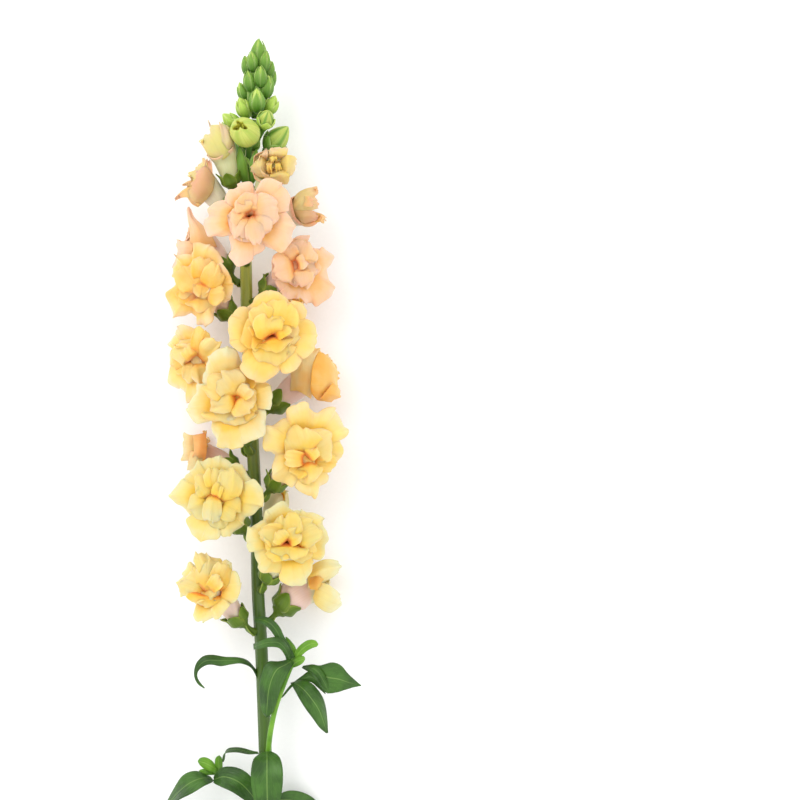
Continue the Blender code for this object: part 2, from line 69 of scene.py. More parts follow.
# Open flowers: grid x and y of the throat, height (mm), way it faces, skirt radius (mm), grid y of the stalk on the
# stem; lobes as (angle, length in mm, half width in degrees); palette; seed
FLOWERS = {
    1: (249, 219, 58.5, (0.04, -0.03, 1.0), 22.5, 262, [(38, 25, 40), (108, 20.5, 40), (183, 23.5, 40), (262, 23, 42), (335, 25, 40)], "pink", 11),
    2: (200, 243, 18.5, (-0.78, 0.35, -0.10), 19.5, 282, [(20, 20, 42), (92, 21, 40), (164, 19, 42), (236, 19, 42), (308, 19, 42)], "pink", 2),
    3: (198, 284, 43.5, (-0.48, -0.05, 0.86), 21.0, 326, [(70, 22, 42), (-6, 21, 42), (-85, 21, 42), (214, 23, 40), (142, 20, 42)], "gold_pink", 3),
    4: (300, 268, 40.0, (0.58, -0.05, 0.78), 18.5, 302, [(90, 16, 42), (12, 20, 42), (-46, 25, 34), (184, 17, 42), (240, 17, 42)], "pink", 14),
    5: (271, 334, 60.0, (0.14, 0.02, 1.0), 24.0, 378, [(95, 23, 42), (172, 23, 42), (248, 25, 40), (-4, 24, 40), (-62, 22, 40), (42, 21, 36)], "gold", 5),
    6: (190, 360, 31.0, (-0.66, -0.28, 0.66), 20.5, 396, [(75, 18, 42), (10, 19, 42), (150, 19, 42), (218, 24, 26), (258, 24, 26), (304, 20, 34)], "honey", 6),
    7: (232, 401, 54.0, (-0.16, 0.00, 1.0), 24.0, 450, [(104, 26, 42), (180, 23.5, 42), (262, 25, 40), (-52, 23, 38), (8, 22, 38), (56, 22, 36)], "cream", 7),
    8: (315, 374, 19.3, (0.85, 0.42, 0.12), 19.5, 418, [(10, 19, 42), (82, 19, 42), (154, 19, 42), (226, 19, 42), (298, 19, 42)], "orange", 8),
    9: (305, 449, 42.0, (0.40, -0.05, 0.88), 22.5, 498, [(41, 27, 36), (98, 23, 38), (155, 24, 38), (228, 22.5, 38), (-73, 24, 38), (-14, 21, 36)], "gold_pale", 9),
    10: (200, 455, 17.0, (-0.95, 0.0, -0.05), 17.5, 474, [(0, 17, 42), (72, 17, 42), (144, 17, 42), (216, 17, 42), (288, 17, 42)], "amber", 10),
    11: (217, 495, 46.0, (-0.26, 0.0, 0.95), 23.0, 538, [(92, 20, 38), (186, 23, 38), (245, 24.5, 38), (-6, 25, 36), (-62, 22, 38), (38, 21, 36), (140, 21, 34)], "lemon", 21),
    12: (288, 540, 51.0, (0.22, 0.0, 0.97), 21.8, 588, [(110, 19.5, 40), (174, 22, 38), (230, 21, 38), (-72, 23, 40), (-8, 22, 40), (42, 20, 38)], "lemon", 12),
    13: (207, 587, 38.0, (-0.56, 0.22, 0.76), 20.5, 630, [(164, 21, 40), (258, 19, 42), (4, 22, 36), (98, 18, 36), (50, 18, 34), (315, 18, 38)], "lemon_gold", 13),
    14: (313, 589, 17.7, (0.92, 0.0, -0.10), 18.0, 622, [(0, 18, 42), (72, 18, 42), (144, 18, 42), (216, 18, 42), (288, 18, 42)], "blush", 4),
    15: (281, 300, 13.5, (0.62, 0.10, -0.62), 17.0, 346, [(0, 16.5, 42), (72, 16.5, 42), (144, 16.5, 42), (216, 16.5, 42), (288, 16.5, 42)], "gold_pink", 15),
    16: (224, 398, 12.8, (-0.62, 0.10, -0.66), 17.0, 452, [(0, 16.5, 42), (72, 16.5, 42), (144, 16.5, 42), (216, 16.5, 42), (288, 16.5, 42)], "gold", 16),
    17: (281, 500, 12.9, (0.60, 0.05, -0.66), 17.0, 545, [(0, 16.5, 42), (72, 16.5, 42), (144, 16.5, 42), (216, 16.5, 42), (288, 16.5, 42)], "lemon", 17),
}

# The extra petals in the throats of the flowers in front: base, middle and tip of each as (grid x, grid y, height in mm
# over the skirt), half width in grid steps, hollow, bank, colour at base and tip
TUFTS = {
    1: [
        ((247, 222, -2), (246, 232, 3.0), (246, 242, 2.0), 6, 0.2, 0, 0.05, 0.5),
        ((253, 215, 0), (266, 209, 7.5), (280, 208, 4.5), 14, -0.7, 0, 0.1, 0.85),
        ((251, 212, 0), (252, 203, 7.0), (256, 193, 4.5), 12, -0.4, 0, 0.1, 0.8),
        ((249, 213, 1), (243, 206, 7.5), (239, 198, 5.0), 8, -0.5, -8, 0.1, 0.8),
        ((247, 215, 0), (239, 213, 6.0), (231, 208, 4.0), 10, -0.3, 0, 0.1, 0.7),
        ((248, 217, 0), (242, 226, 6.0), (237, 238, 4.0), 9, -0.5, 8, 0.1, 0.8),
        ((252, 216, 2), (254, 229, 8.5), (256, 245, 6.0), 8, -1.0, 6, 0.15, 0.85),
        ((254, 216, 1), (263, 221, 7.5), (273, 226, 6.0), 9, -0.4, -10, 0.1, 0.85),
    ],
    3: [
        ((202, 296, -2), (203, 304, 3.0), (203, 312, 1.5), 14, -0.2, 0, 0.1, 0.8),
        ((199, 293, -2), (188, 292, 3.0), (176, 291, 2.0), 10, 0.3, 0, 0.05, 0.45),
        ((205, 292, -1), (215, 293, 5.0), (224, 290, 3.0), 10, -0.3, 0, 0.1, 0.75),
        ((203, 284, 0), (204, 270, 6.5), (203, 256, 4.0), 11, -0.4, 0, 0.1, 0.75),
        ((202, 290, 0), (192, 277, 7.5), (181, 263, 4.5), 14, -0.6, 0, 0.1, 0.8),
        ((203, 290, 0), (211, 279, 7.0), (217, 264, 5.0), 9, -0.7, 0, 0.1, 0.7),
        ((203, 282, 2), (201, 290, 8.0), (199, 298, 6.0), 9, -0.9, 0, 0.15, 0.6),
    ],
    4: [
        ((295, 265, 0), (284, 266, 6.5), (273, 270, 4.0), 13, -0.5, 0, 0.1, 0.8),
        ((295, 262, 0), (289, 253, 5.5), (285, 246, 4.0), 8, -0.3, 0, 0.1, 0.8),
        ((303, 267, 0), (310, 266, 6.0), (318, 264, 4.0), 11, -0.5, 0, 0.1, 0.85),
        ((299, 264, 0), (303, 252, 7.5), (307, 240, 5.0), 13, -0.8, 0, 0.1, 0.75),
        ((299, 267, 1), (300, 277, 7.0), (302, 288, 5.0), 11, -0.5, 0, 0.1, 0.85),
        ((298, 265, 3), (302, 262, 8.5), (308, 262, 8.0), 6, 0.6, 0, 0.1, 0.7),
    ],
    5: [
        ((273, 340, -2), (274, 353, 3.5), (275, 365, 1.5), 18, -0.2, 0, 0.1, 0.8),
        ((268, 334, -3), (256, 326, 4.5), (244, 323, 3.0), 19, -0.4, 0, 0.08, 0.75),
        ((276, 334, -2), (288, 333, 4.5), (300, 329, 3.0), 17, -0.4, 0, 0.1, 0.8),
        ((270, 330, -1), (262, 316, 7.0), (256, 304, 5.0), 11, -0.5, 0, 0.1, 0.75),
        ((274, 332, -1), (280, 316, 8.0), (284, 299, 5.0), 16, -0.8, 0, 0.1, 0.75),
        ((272, 337, 1), (274, 344, 7.0), (275, 352, 5.0), 17, -0.6, 0, 0.1, 0.62),
        ((271, 335, 3), (267, 325, 9.5), (268, 313, 9.0), 12, 0.5, 15, 0.15, 0.85),
        ((274, 334, 2), (281, 327, 8.5), (287, 322, 8.0), 9, 0.6, -8, 0.1, 0.7),
    ],
    6: [
        ((190, 360, -1), (181, 364, 4.5), (172, 368, 3.0), 8, 0.3, 0, 0.05, 0.5),
        ((193, 361, 0), (192, 372, 5.5), (190, 384, 3.0), 9, -0.3, 0, 0.1, 0.8),
        ((197, 361, -1), (201, 373, 4.5), (203, 386, 3.0), 8, -0.6, 0, 0.1, 0.9),
        ((199, 358, 0), (208, 350, 6.0), (217, 341, 4.0), 10, -0.5, 0, 0.1, 0.8),
        ((193, 356, 0), (183, 350, 7.0), (172, 347, 4.0), 13, -0.6, 0, 0.1, 0.75),
        ((197, 357, 0), (199, 343, 7.0), (203, 329, 5.0), 8, -0.8, 0, 0.1, 0.6),
        ((194, 357, 3), (190, 352, 8.5), (186, 345, 8.0), 7, 0.4, 0, 0.1, 0.75),
    ],
    7: [
        ((230, 408, -2), (229, 416, 4.0), (229, 425, 2.0), 22, -0.3, 0, 0.1, 0.7),
        ((238, 392, -1), (243, 380, 3.5), (246, 369, 2.0), 10, 0.3, 0, 0.05, 0.5),
        ((240, 405, -1), (247, 410, 3.0), (255, 415, 1.5), 9, -0.3, 0, 0.05, 0.5),
        ((232, 396, 0), (218, 386, 6.0), (206, 380, 4.5), 12, -0.4, 0, 0.1, 0.75),
        ((238, 398, 0), (246, 402, 6.5), (253, 408, 6.0), 14, -0.3, -14, 0.1, 0.85),
        ((238, 396, 1), (230, 384, 8.5), (221, 373, 8.0), 13, -0.7, -10, 0.15, 0.75),
        ((236, 398, 1), (223, 400, 7.0), (207, 404, 5.0), 11, -0.7, 8, 0.1, 0.75),
        ((240, 398, 2), (245, 392, 8.0), (251, 388, 8.0), 6, 0.5, 0, 0.1, 0.8),
    ],
    9: [
        ((304, 463, -2), (298, 470, 3.0), (293, 476, 1.5), 9, 0.2, 0, 0.05, 0.5),
        ((311, 459, -2), (323, 462, 4.5), (337, 464, 3.0), 9, -0.3, 0, 0.08, 0.5),
        ((309, 454, -1), (320, 444, 6.0), (332, 437, 3.0), 15, -0.4, 0, 0.1, 0.8),
        ((306, 456, -1), (302, 442, 7.0), (296, 427, 4.5), 17, -0.7, 0, 0.1, 0.72),
        ((307, 461, 0), (309, 472, 6.0), (309, 484, 4.0), 11, -0.6, 0, 0.1, 0.65),
        ((304, 459, 0), (294, 459, 6.0), (284, 457, 4.0), 7, 0.8, 0, 0.1, 0.75),
        ((307, 456, 2), (311, 450, 8.0), (315, 445, 7.5), 8, 0.4, 0, 0.1, 0.75),
    ],
    11: [
        ((216, 506, -2), (219, 518, 4.0), (221, 530, 2.0), 11, -0.3, 0, 0.1, 0.7),
        ((210, 500, -1), (200, 507, 5.0), (189, 512, 3.0), 11, -0.2, 0, 0.1, 0.8),
        ((220, 502, -2), (229, 508, 4.5), (239, 514, 3.0), 11, -0.3, 0, 0.08, 0.7),
        ((217, 493, 0), (214, 480, 7.5), (214, 467, 5.0), 8, -0.5, 0, 0.1, 0.7),
        ((214, 496, 0), (205, 486, 6.5), (197, 476, 4.5), 11, -0.5, 0, 0.1, 0.7),
        ((221, 503, -1), (229, 488, 8.5), (231, 467, 5.0), 11, -1.0, 0, 0.1, 0.75),
        ((214, 493, 1), (212, 508, 8.0), (211, 523, 6.0), 8, -0.8, 0, 0.15, 0.95),
        ((216, 498, 2), (217, 490, 8.5), (220, 483, 8.0), 5, 0.5, 0, 0.1, 0.6),
    ],
    12: [
        ((284, 545, -2), (275, 549, 3.5), (265, 553, 2.0), 10, 0.2, 0, 0.05, 0.55),
        ((292, 544, -1), (303, 550, 4.5), (314, 556, 2.5), 11, -0.3, 0, 0.1, 0.75),
        ((286, 541, 0), (275, 534, 6.5), (259, 533, 4.0), 10, -0.5, 0, 0.1, 0.75),
        ((291, 541, 0), (305, 532, 7.0), (320, 526, 4.0), 14, -0.5, 0, 0.1, 0.78),
        ((288, 540, 0), (288, 527, 8.0), (287, 512, 5.0), 13, -0.7, 0, 0.1, 0.7),
        ((289, 543, 1), (289, 551, 7.0), (288, 560, 5.0), 16, -0.5, 0, 0.1, 0.68),
        ((288, 541, 3), (294, 536, 9.0), (300, 531, 8.5), 8, 0.6, 0, 0.1, 0.78),
        ((286, 541, 3), (281, 537, 8.5), (277, 531, 8.0), 7, 0.4, 0, 0.1, 0.78),
    ],
    13: [
        ((208, 594, -1), (207, 600, 3.0), (206, 607, 1.5), 16, 0.2, 0, 0.08, 0.5),
        ((213, 590, 0), (220, 577, 5.5), (226, 563, 3.5), 9, -0.3, 0, 0.08, 0.55),
        ((205, 590, 0), (192, 585, 5.0), (178, 582, 2.5), 11, -0.3, 0, 0.1, 0.8),
        ((204, 580, 1), (199, 571, 6.0), (193, 564, 5.0), 5, -0.6, 0, 0.1, 0.85),
        ((208, 577, 2), (204, 563, 7.0), (199, 551, 6.0), 7, -0.5, 12, 0.1, 0.85),
        ((209, 592, 0), (208, 577, 8.5), (209, 559, 6.0), 11, -0.9, 0, 0.1, 0.75),
        ((209, 590, 3), (215, 583, 8.5), (219, 576, 7.5), 6, 0.5, 0, 0.1, 0.7),
    ],
}

# Flowers seen from the side: the lobes turned to the front, as rows of (grid x, grid y, height in mm) from base to rim,
# with the colours at base and rim
SIDE = {
    2: [
        ([[(191, 250, 26), (203, 249, 31), (217, 247, 27)], [(190, 239, 28), (200, 238, 32), (213, 238, 29)], [(189, 229, 27.5), (197, 228, 31), (206, 229, 29)], [(187.5, 219, 26), (190.5, 218, 28), (195, 219, 27)], [(186.5, 209, 24), (188.5, 208, 24.5), (190.5, 210, 24)]], 0.30, 0.95),
        ([[(194, 240, 27), (193, 251, 29), (191, 264, 27)], [(186, 241, 26.5), (185, 251, 28.5), (183, 265, 26)], [(180, 241, 24), (181, 252, 26), (178, 267, 24)], [(176, 239, 21), (178.5, 251, 23), (172, 268, 20)]], 0.45, 1.0),
    ],
    8: [
        # this left lobe takes only the palest colours, painted light against the shade of the flowers above it
        ([[(290, 391, 26), (298, 391, 31), (305, 395, 32), (311, 399, 29)], [(291, 380, 28), (299, 380, 33.5), (306, 382, 35.5), (313, 386, 34)], [(291, 368, 28), (299, 368, 34.5), (306, 369, 37.5), (313, 372, 37)], [(293, 356, 27), (300, 354, 34), (308, 355, 37.5), (315, 358, 38)], [(296, 346, 25), (304, 343, 31), (312, 345, 34), (320, 350, 35)]], 0.80, 1.0),
        ([[(318, 352, 36.5), (313, 364, 39.5), (311, 379, 40), (311, 392, 37), (317, 400, 31)], [(323, 353, 35), (320, 364, 37), (318, 379, 38.5), (319, 391, 37), (322, 401, 29)], [(328, 358, 31), (327, 367, 34), (326, 380, 36), (327, 392, 34.5), (328, 401.5, 27)], [(333, 364, 26), (333, 372, 29), (333, 382, 31), (334, 392, 29), (334, 400, 23)], [(336, 369, 20), (337.5, 376, 22), (338, 385, 24), (339, 393, 22), (338, 398, 18)]], 0.32, 0.66),
        ([[(333, 383, 36), (327, 390.5, 38), (320.5, 398.5, 35)], [(337, 386, 32), (333, 394, 34), (326, 401.5, 31)], [(340, 391, 25), (339, 397.5, 26), (332, 402.5, 25)]], 0.34, 0.68),
    ],
    10: [
        ([[(206, 433, 27), (207, 445, 31), (206, 456, 31), (202, 468, 27), (199, 479, 22)], [(200, 434, 28.5), (200.5, 446, 33), (199.5, 457, 32.5), (197, 468, 28), (196, 477, 22)], [(194, 436, 27), (194, 447, 32), (193, 458, 31.5), (192.5, 464, 27), (193, 470, 22)]], 0.12, 0.42),
        ([[(196, 435, 25), (195, 447, 29), (195, 460, 27)], [(189, 434.5, 25.5), (188.5, 447, 28.5), (189, 460.5, 26)], [(183, 432, 20), (184, 447, 23), (181, 461, 20)]], 0.62, 1.0),
        ([[(205, 438, 25), (204, 434, 25)], [(206.5, 433, 29), (202.5, 431, 29)], [(206, 432, 30), (204, 430.5, 30)]], 0.3, 0.6),
        ([[(203, 454, 31), (196, 452, 32), (191, 451, 29)], [(202, 463, 31), (195, 463, 32.5), (189, 461, 28)], [(201, 471, 27), (194, 473, 27.5), (188.5, 469, 23)]], 0.5, 1.0),
    ],
    14: [
        ([[(307, 570, 30), (307.5, 578, 33), (309, 586, 32)], [(315, 563.5, 31.5), (316, 573, 35.5), (317, 584, 33)], [(324, 559.5, 30.5), (325, 569, 34.5), (325, 581, 30)], [(332, 559, 27.5), (333, 568, 30), (331.5, 577, 26)], [(338.5, 560.5, 23), (340, 566, 23.5), (337, 572.5, 21)]], 0.30, 1.0),
        ([[(316, 582, 33), (315, 590, 34.5), (313, 598, 31)], [(323, 583, 33.5), (322, 593, 36), (316, 605, 31)], [(329.5, 586, 32.5), (330, 597, 34.5), (323.5, 611, 28)], [(335.5, 590, 29), (337, 600, 29.5), (330.5, 613, 23)], [(340, 594, 24), (341.5, 602, 22.5), (337, 609.5, 17.5)]], 0.42, 1.0),
        ([[(310, 578, 34), (309, 584, 35.5), (310, 589, 35)], [(316, 576.5, 35.5), (317, 583, 37), (317, 590, 36)], [(321.5, 577, 34), (322.5, 583.5, 34.5), (322, 590, 33.5)]], 0.05, 0.30),
    ],
}

# How wide the tube, and how wide its throat, of flowers where it shows
TUBES = {8: (1.10, 0.0082), 10: (0.78, 0.0068), 14: (1.48, 0.0068), 17: (0.85, 0.0056)}

# Half-open flowers: lobes as for the flowers seen from the side
CUPS = {
    1: [
        ([[(215, 177, 34), (213, 190, 38), (206, 200, 36), (198, 207, 30)], [(210, 170, 37), (207, 183, 41.5), (200, 195, 40), (192, 204, 33)], [(205, 166, 37), (201, 178, 42), (195, 190, 41), (187.5, 199, 34.5)], [(199, 169, 35), (195, 178, 40), (190.5, 187, 39.5), (185, 194, 34)]], 0.42, 1.0),
        ([[(192, 186, 37), (192, 198, 36)], [(185, 188.5, 36.5), (186, 197.5, 35.5)], [(179, 193.5, 34), (180.5, 198, 34)], [(175, 197.5, 32), (176.5, 200, 32)]], 0.6, 1.0),
        ([[(207, 183, 35), (196, 187, 35), (190, 190, 34)], [(208, 171, 37), (199, 176, 38), (192, 184, 36)], [(207, 163, 36), (199, 168, 37), (192.5, 178, 35)], [(205, 158.5, 33), (197, 166, 34), (187, 176, 32)]], 0.20, 0.42),
        ([[(213, 178, 35), (205, 180, 36)], [(212, 168, 37), (205, 170, 38)], [(211, 160.5, 35), (205.5, 160.5, 35.5)]], 0.75, 1.0),
        ([[(194, 180, 34), (192, 188, 34)], [(188, 181, 34), (187.5, 186, 34)], [(184, 183.5, 32.5), (184, 186, 32.5)]], 0.7, 1.0),
    ],
    2: [
        ([[(290, 205, 33), (291, 209, 37), (293, 213, 36)], [(297, 194, 36), (299, 202, 41.5), (302, 212, 40.5)], [(306, 188.5, 35.5), (308, 199, 40), (310, 211, 39.5)], [(313, 187, 33), (313, 198, 37), (316, 209, 36.5)], [(318, 186, 30), (316, 197, 34), (319.5, 208, 34)]], 0.25, 0.62),
        ([[(292, 210, 37.5), (294, 216, 36), (299, 223, 29.5)], [(301, 211, 41), (302, 217.5, 39.5), (304, 226, 31.5)], [(309, 210.5, 40.5), (311, 216.5, 38.5), (311, 226, 31)], [(315, 211, 36), (317, 216, 35), (316.5, 224, 30)]], 0.35, 0.9),
        ([[(310, 215, 37), (311, 223, 33)], [(317, 213, 36), (317.5, 222, 32)], [(322, 214, 33), (321.5, 222, 31)], [(325.5, 217, 30), (324, 224, 29)]], 0.10, 0.42),
        ([[(303, 196, 39), (301, 206, 41)], [(309, 196, 42), (308, 207, 43)], [(313, 198, 40), (313, 206, 40.5)]], 0.30, 0.95),
    ],
    3: [
        ([[(213, 161, 34), (222, 160, 39), (229, 155, 40), (234.5, 146, 36)], [(207.5, 154, 36), (216, 151, 41.5), (225, 145, 42.5), (234, 137, 38)], [(204, 148, 36), (212, 143, 41.5), (221, 136, 42.5), (231.5, 131, 38)], [(201.5, 144, 34), (208.5, 138, 39.5), (215.5, 131, 41), (228, 126.5, 38)], [(198.5, 141, 31), (207.5, 134.5, 37), (211.5, 127, 38), (223, 123.5, 36)]], 0.30, 0.62),
        ([[(233, 151, 36), (228, 152, 40), (222, 154, 40)], [(234, 141, 38), (229, 141, 43), (222, 143, 43)], [(231, 133, 38), (227, 132, 42), (221, 133, 42.5)], [(228, 128, 36), (224, 126, 39), (218.5, 121.5, 39)]], 0.80, 1.0),
        ([[(210.5, 131, 37), (214.5, 129, 38)], [(209.7, 126.5, 36.5), (211.4, 126.5, 36.5)], [(208.6, 122.5, 35.5), (209.2, 122.5, 35.5)]], 0.8, 1.0),
    ],
    4: [
        ([[(267, 159, 43), (269, 167, 44), (269, 175, 42)], [(261, 157, 48), (262, 166, 50), (265, 177, 47)], [(256, 160, 46.5), (255, 168, 47.5), (259, 177, 44)], [(252.5, 164, 41), (251.5, 170, 41), (255.5, 176, 40)]], 0.45, 0.80),
        ([[(262, 161, 43), (267, 160, 44)], [(261.5, 155, 49), (268, 154.5, 49.5)], [(263.5, 150.5, 47), (267.5, 150, 47)]], 0.8, 1.0),
        ([[(268, 159, 44), (276, 159, 45), (285, 159, 44)], [(268.5, 153.5, 48.5), (277, 153, 49.5), (287, 154, 48.5)], [(270, 149, 46.5), (279, 148, 47), (288, 150.5, 45.5)], [(272, 147.5, 42.5), (280, 147, 43), (288, 149, 42)]], 0.55, 1.0),
        ([[(282, 157, 45), (280, 166, 46), (281, 175, 45)], [(288, 155, 49), (288, 166, 50), (288, 176, 48)], [(293.5, 156, 46), (294, 165, 46.5), (291.5, 175, 44)], [(295.5, 158, 41), (296, 166, 41), (292, 174, 40)]], 0.50, 0.80),
        ([[(270, 171, 45), (277, 167.5, 46), (286, 169, 45)], [(270, 176, 49.5), (279, 174.5, 51.5), (289, 175, 49.5)], [(272.5, 180, 47), (281, 182, 47.5), (289, 179.5, 45.5)], [(276, 182, 43), (283, 184, 43), (288, 181.5, 42)]], 0.30, 0.62),
        ([[(269, 160, 44), (274, 160, 44)], [(266.5, 165, 51), (272, 165.5, 52)], [(267, 170, 51), (272.5, 171, 51)], [(269, 174.5, 47), (273, 174.5, 47)]], 0.04, 0.34),
        ([[(275, 161, 44), (281, 162, 44)], [(275.5, 165, 51), (281, 166.5, 51.5)], [(276, 171, 49), (282, 172, 48.5)]], 0.0, 0.30),
        ([[(268, 156, 45), (276, 155.5, 45.5)], [(270, 158.5, 50), (277, 158.5, 50.5)], [(270, 162.5, 49), (276, 162.5, 49)]], 0.16, 0.45),
    ],
}

OPENING = {
    1: (201, 185, 33.0, (-0.75, 0.38, 0.42), 10.0, 224, "tan_pink", 31),
    2: (299, 210, 33.0, (0.85, 0.22, 0.38), 10.0, 245, "tan_pink", 32),
    3: (221, 149, 35.0, (-0.42, 0.66, 0.52), 10.0, 198, "tan", 33),
    4: (272, 168, 42.0, (0.18, 0.28, 0.93), 11.0, 212, "tan_gold", 34),
}

BUDS = {
    1: (246, 133, 41.0, (-0.12, 0.25, 0.95), 15.0, 14.0, 168),
    2: (266, 119, 38.5, (0.25, 0.60, 0.75), 12.0, 9.0, 146),
    3: (277, 139, 28.5, (0.66, 0.70, 0.20), 17.0, 12.5, 170),
    4: (231.5, 122, 28.0, (-0.65, 0.60, 0.15), 12.0, 8.2, 146),
    5: (244, 146, 13.0, (-0.15, 0.60, -0.70), 13.5, 9.8, 172),
}

LEAVES = {
    "leaf_upper_left": ([(256, 672, 22), (247, 664, 27), (232, 660, 29), (214, 659, 30), (200, 663, 28), (195, 674, 25), (198, 684, 23)], 5.0, (0, 0.9, 0.45), 0.15),
    "leaf_arch_upper": ([(291, 655, 34), (284, 643, 36), (275, 629, 37), (264, 620, 36), (253, 617, 31)], 4.6, (0.1, 0.3, 1), 0.1),
    "leaf_arch_lower": ([(290, 657, 37), (283, 649, 40), (274, 644, 40), (264, 644, 37), (254, 646, 31)], 4.6, (0, 0.3, 1), 0.1),
    "leaf_center": ([(290, 663, 36), (282, 668, 42), (276, 680, 44), (272, 699, 41), (267, 719, 33)], 13.0, (-0.2, 0.35, 1), 0.08),
    "leaf_right_far": ([(303, 678, 25), (313, 674, 29), (328, 676, 31), (345, 682, 29), (360, 687, 24)], 13.0, (0.1, 0.6, 0.8), 0.12),
    "leaf_right_low": ([(295, 684, 20), (305, 690, 27), (314, 703, 29), (322, 718, 25), (327, 733, 18)], 12.5, (0.5, 0.1, 0.9), 0.10),
    "leaf_small_left": ([(258, 753, 20), (247, 752, 23), (235, 750, 24), (226, 752, 22), (223, 762, 18)], 4.2, (0, 0.9, 0.5), 0.12),
    "leaf_bottom_center": ([(267, 752, 27), (267, 762, 34), (267, 785, 37), (268, 812, 32), (271, 840, 24)], 16.0, (0, 0.35, 1), 0.10),
    "leaf_bottom_left": ([(214, 780, 15), (225, 777, 21), (240, 783, 23), (253, 797, 20), (262, 814, 12)], 12.5, (0.1, 0.4, 0.9), 0.10),
    "leaf_far_left": ([(212, 779, 12), (200, 779, 18), (186, 786, 18), (172, 800, 12), (160, 820, 4)], 12.5, (-0.1, 0.7, 0.7), 0.10),
    "leaf_low_right": ([(276, 872, 17), (290, 866, 22), (308, 868, 20), (326, 880, 12), (338, 896, 3.5)], 12.0, (0.2, 0.5, 0.9), 0.12),
    "leaf_low_left": ([(264, 905, 12), (252, 900, 16), (236, 903, 15), (220, 914, 9), (208, 930, 2.5)], 11.0, (-0.2, 0.5, 0.9), 0.12),
    "leaf_low_back": ([(276, 800, 12), (290, 800, 10), (306, 806, 6), (322, 818, 2.5), (336, 834, 1.2)], 11.0, (0.1, 0.3, 1), 0.10),
}

# Leaves in view, by the two edges of the blade (grid x, grid y), heights of the midrib in mm and keel
BLADES = {
    "leaf_upper_left": [([(257, 671), (248, 661), (238, 657.5), (225, 657), (213, 655), (204, 656), (197.5, 661.5), (194.5, 669), (194.5, 677), (198, 684), (204.5, 688.5)], [(258, 681), (252, 668.5), (242, 663.5), (232, 664), (221, 666), (212, 664.5), (205, 665.5), (198.5, 670.5), (197.2, 676.5), (200, 682.3), (204.5, 687.5)], [22, 26, 29, 30, 30.5, 30.5, 30, 28, 26, 24, 23], -0.25)],
    "leaf_arch_upper": [([(295, 657), (290, 646), (284, 636.5), (279.5, 627), (273, 620), (264, 616.5), (255, 618)], [(287, 661), (285, 651.5), (279, 643.5), (274, 635), (268, 627.5), (261.5, 623.5), (255, 622)], [35, 37, 38, 38, 37, 34, 31], -0.2)],
    "leaf_arch_lower": [([(292, 655), (286, 643.5), (278, 637.5), (268, 638), (259, 641.5), (253.5, 644)], [(287, 663), (285, 655.5), (279, 648), (269, 646.8), (259.5, 648.5), (254, 649.5)], [37, 40, 41, 40, 36, 31], -0.2)],
    "leaf_center": [([(290, 659), (279, 661.5), (268, 662), (262.5, 671), (259.5, 684), (260, 699), (262, 711), (266.5, 717)], [(294, 663), (290.5, 669), (286, 677), (281, 687), (278, 697), (275, 706.5), (271.5, 713.5), (267.5, 717)], [37, 42, 45, 46, 45.5, 42, 37, 33], -0.22)],
    "leaf_right_far": [
        ([(302, 667), (311, 664.5), (320, 665.5), (332, 662.5), (341, 665.5), (348, 673.5), (355, 680), (361, 685)], [(302, 668), (311, 674), (318, 683), (326, 692.5), (336, 692.5), (345, 690), (353, 687.5), (361, 686)], [27, 30, 32, 32.5, 32, 30, 27, 24], 0.15),
        ([(294, 682), (302, 676), (309.5, 671.5), (317, 676), (325, 691)], [(296, 684), (304, 682), (311, 682), (318, 687.5), (325.5, 694)], [24, 27, 28, 28, 27], -0.2),
        ([(303, 666), (312, 665), (320, 668.5), (326, 678), (330, 692)], [(303, 667.5), (311, 671), (317, 677), (322, 686), (328, 693.5)], [28, 32.5, 34.5, 35, 34], -0.35),
    ],
    "leaf_right_low": [
        ([(290.5, 683), (295, 690.5), (300, 699.5), (306, 709), (313, 718.5), (319, 727), (326, 733)], [(294, 682), (302, 680), (311, 683), (318, 690), (323.5, 699.5), (326.5, 713), (328, 733)], [24, 29, 32, 31.5, 29, 25, 20], -0.2),
        ([(294, 682), (289, 686.5), (283, 694.5), (281, 697.5)], [(295, 684), (290.5, 688.5), (284.5, 695.5), (281.6, 698)], [25, 27, 26, 25], 0.0),
    ],
}

# Leaflets of the side shoot by their edges
LEAFLETS = {
    "side_shoot_left": [
        ([(219, 771), (213, 762), (206, 757.5), (200.5, 758), (198, 761)], [(221, 774), (212, 772), (205, 769), (200.5, 765.5), (198, 761.6)], [11, 15, 16, 16, 15.5], -0.2),
        ([(216.5, 772), (215, 763), (216, 757.5), (219, 755.5)], [(222.5, 773), (222.5, 764), (221.8, 758), (219.5, 755.5)], [11, 15, 17, 18], -0.2),
        ([(212, 771), (206, 768.5), (200, 770), (198, 773)], [(214, 775), (208, 775), (202, 775.5), (198.4, 773.6)], [11, 12.5, 12, 10.5], -0.1),
    ],
    "side_shoot_right": [
        ([(291, 660), (297, 649), (303, 643), (309, 640), (315, 640.5), (318, 644)], [(297, 664), (301, 656.5), (306, 651.5), (312, 648), (316.5, 646.5), (318, 644.5)], [33, 36, 37, 37, 36.5, 36], -0.2),
        ([(290, 660), (288, 650), (286, 640), (285.5, 637)], [(297, 660), (296, 649), (291, 641.5), (286.5, 637)], [32, 33, 31, 29], -0.2),
        ([(290, 664), (297, 657), (303, 656), (305, 658)], [(292, 668), (299, 665.5), (303, 662.5), (305, 659)], [32, 36, 37, 37], -0.2),
    ],
}

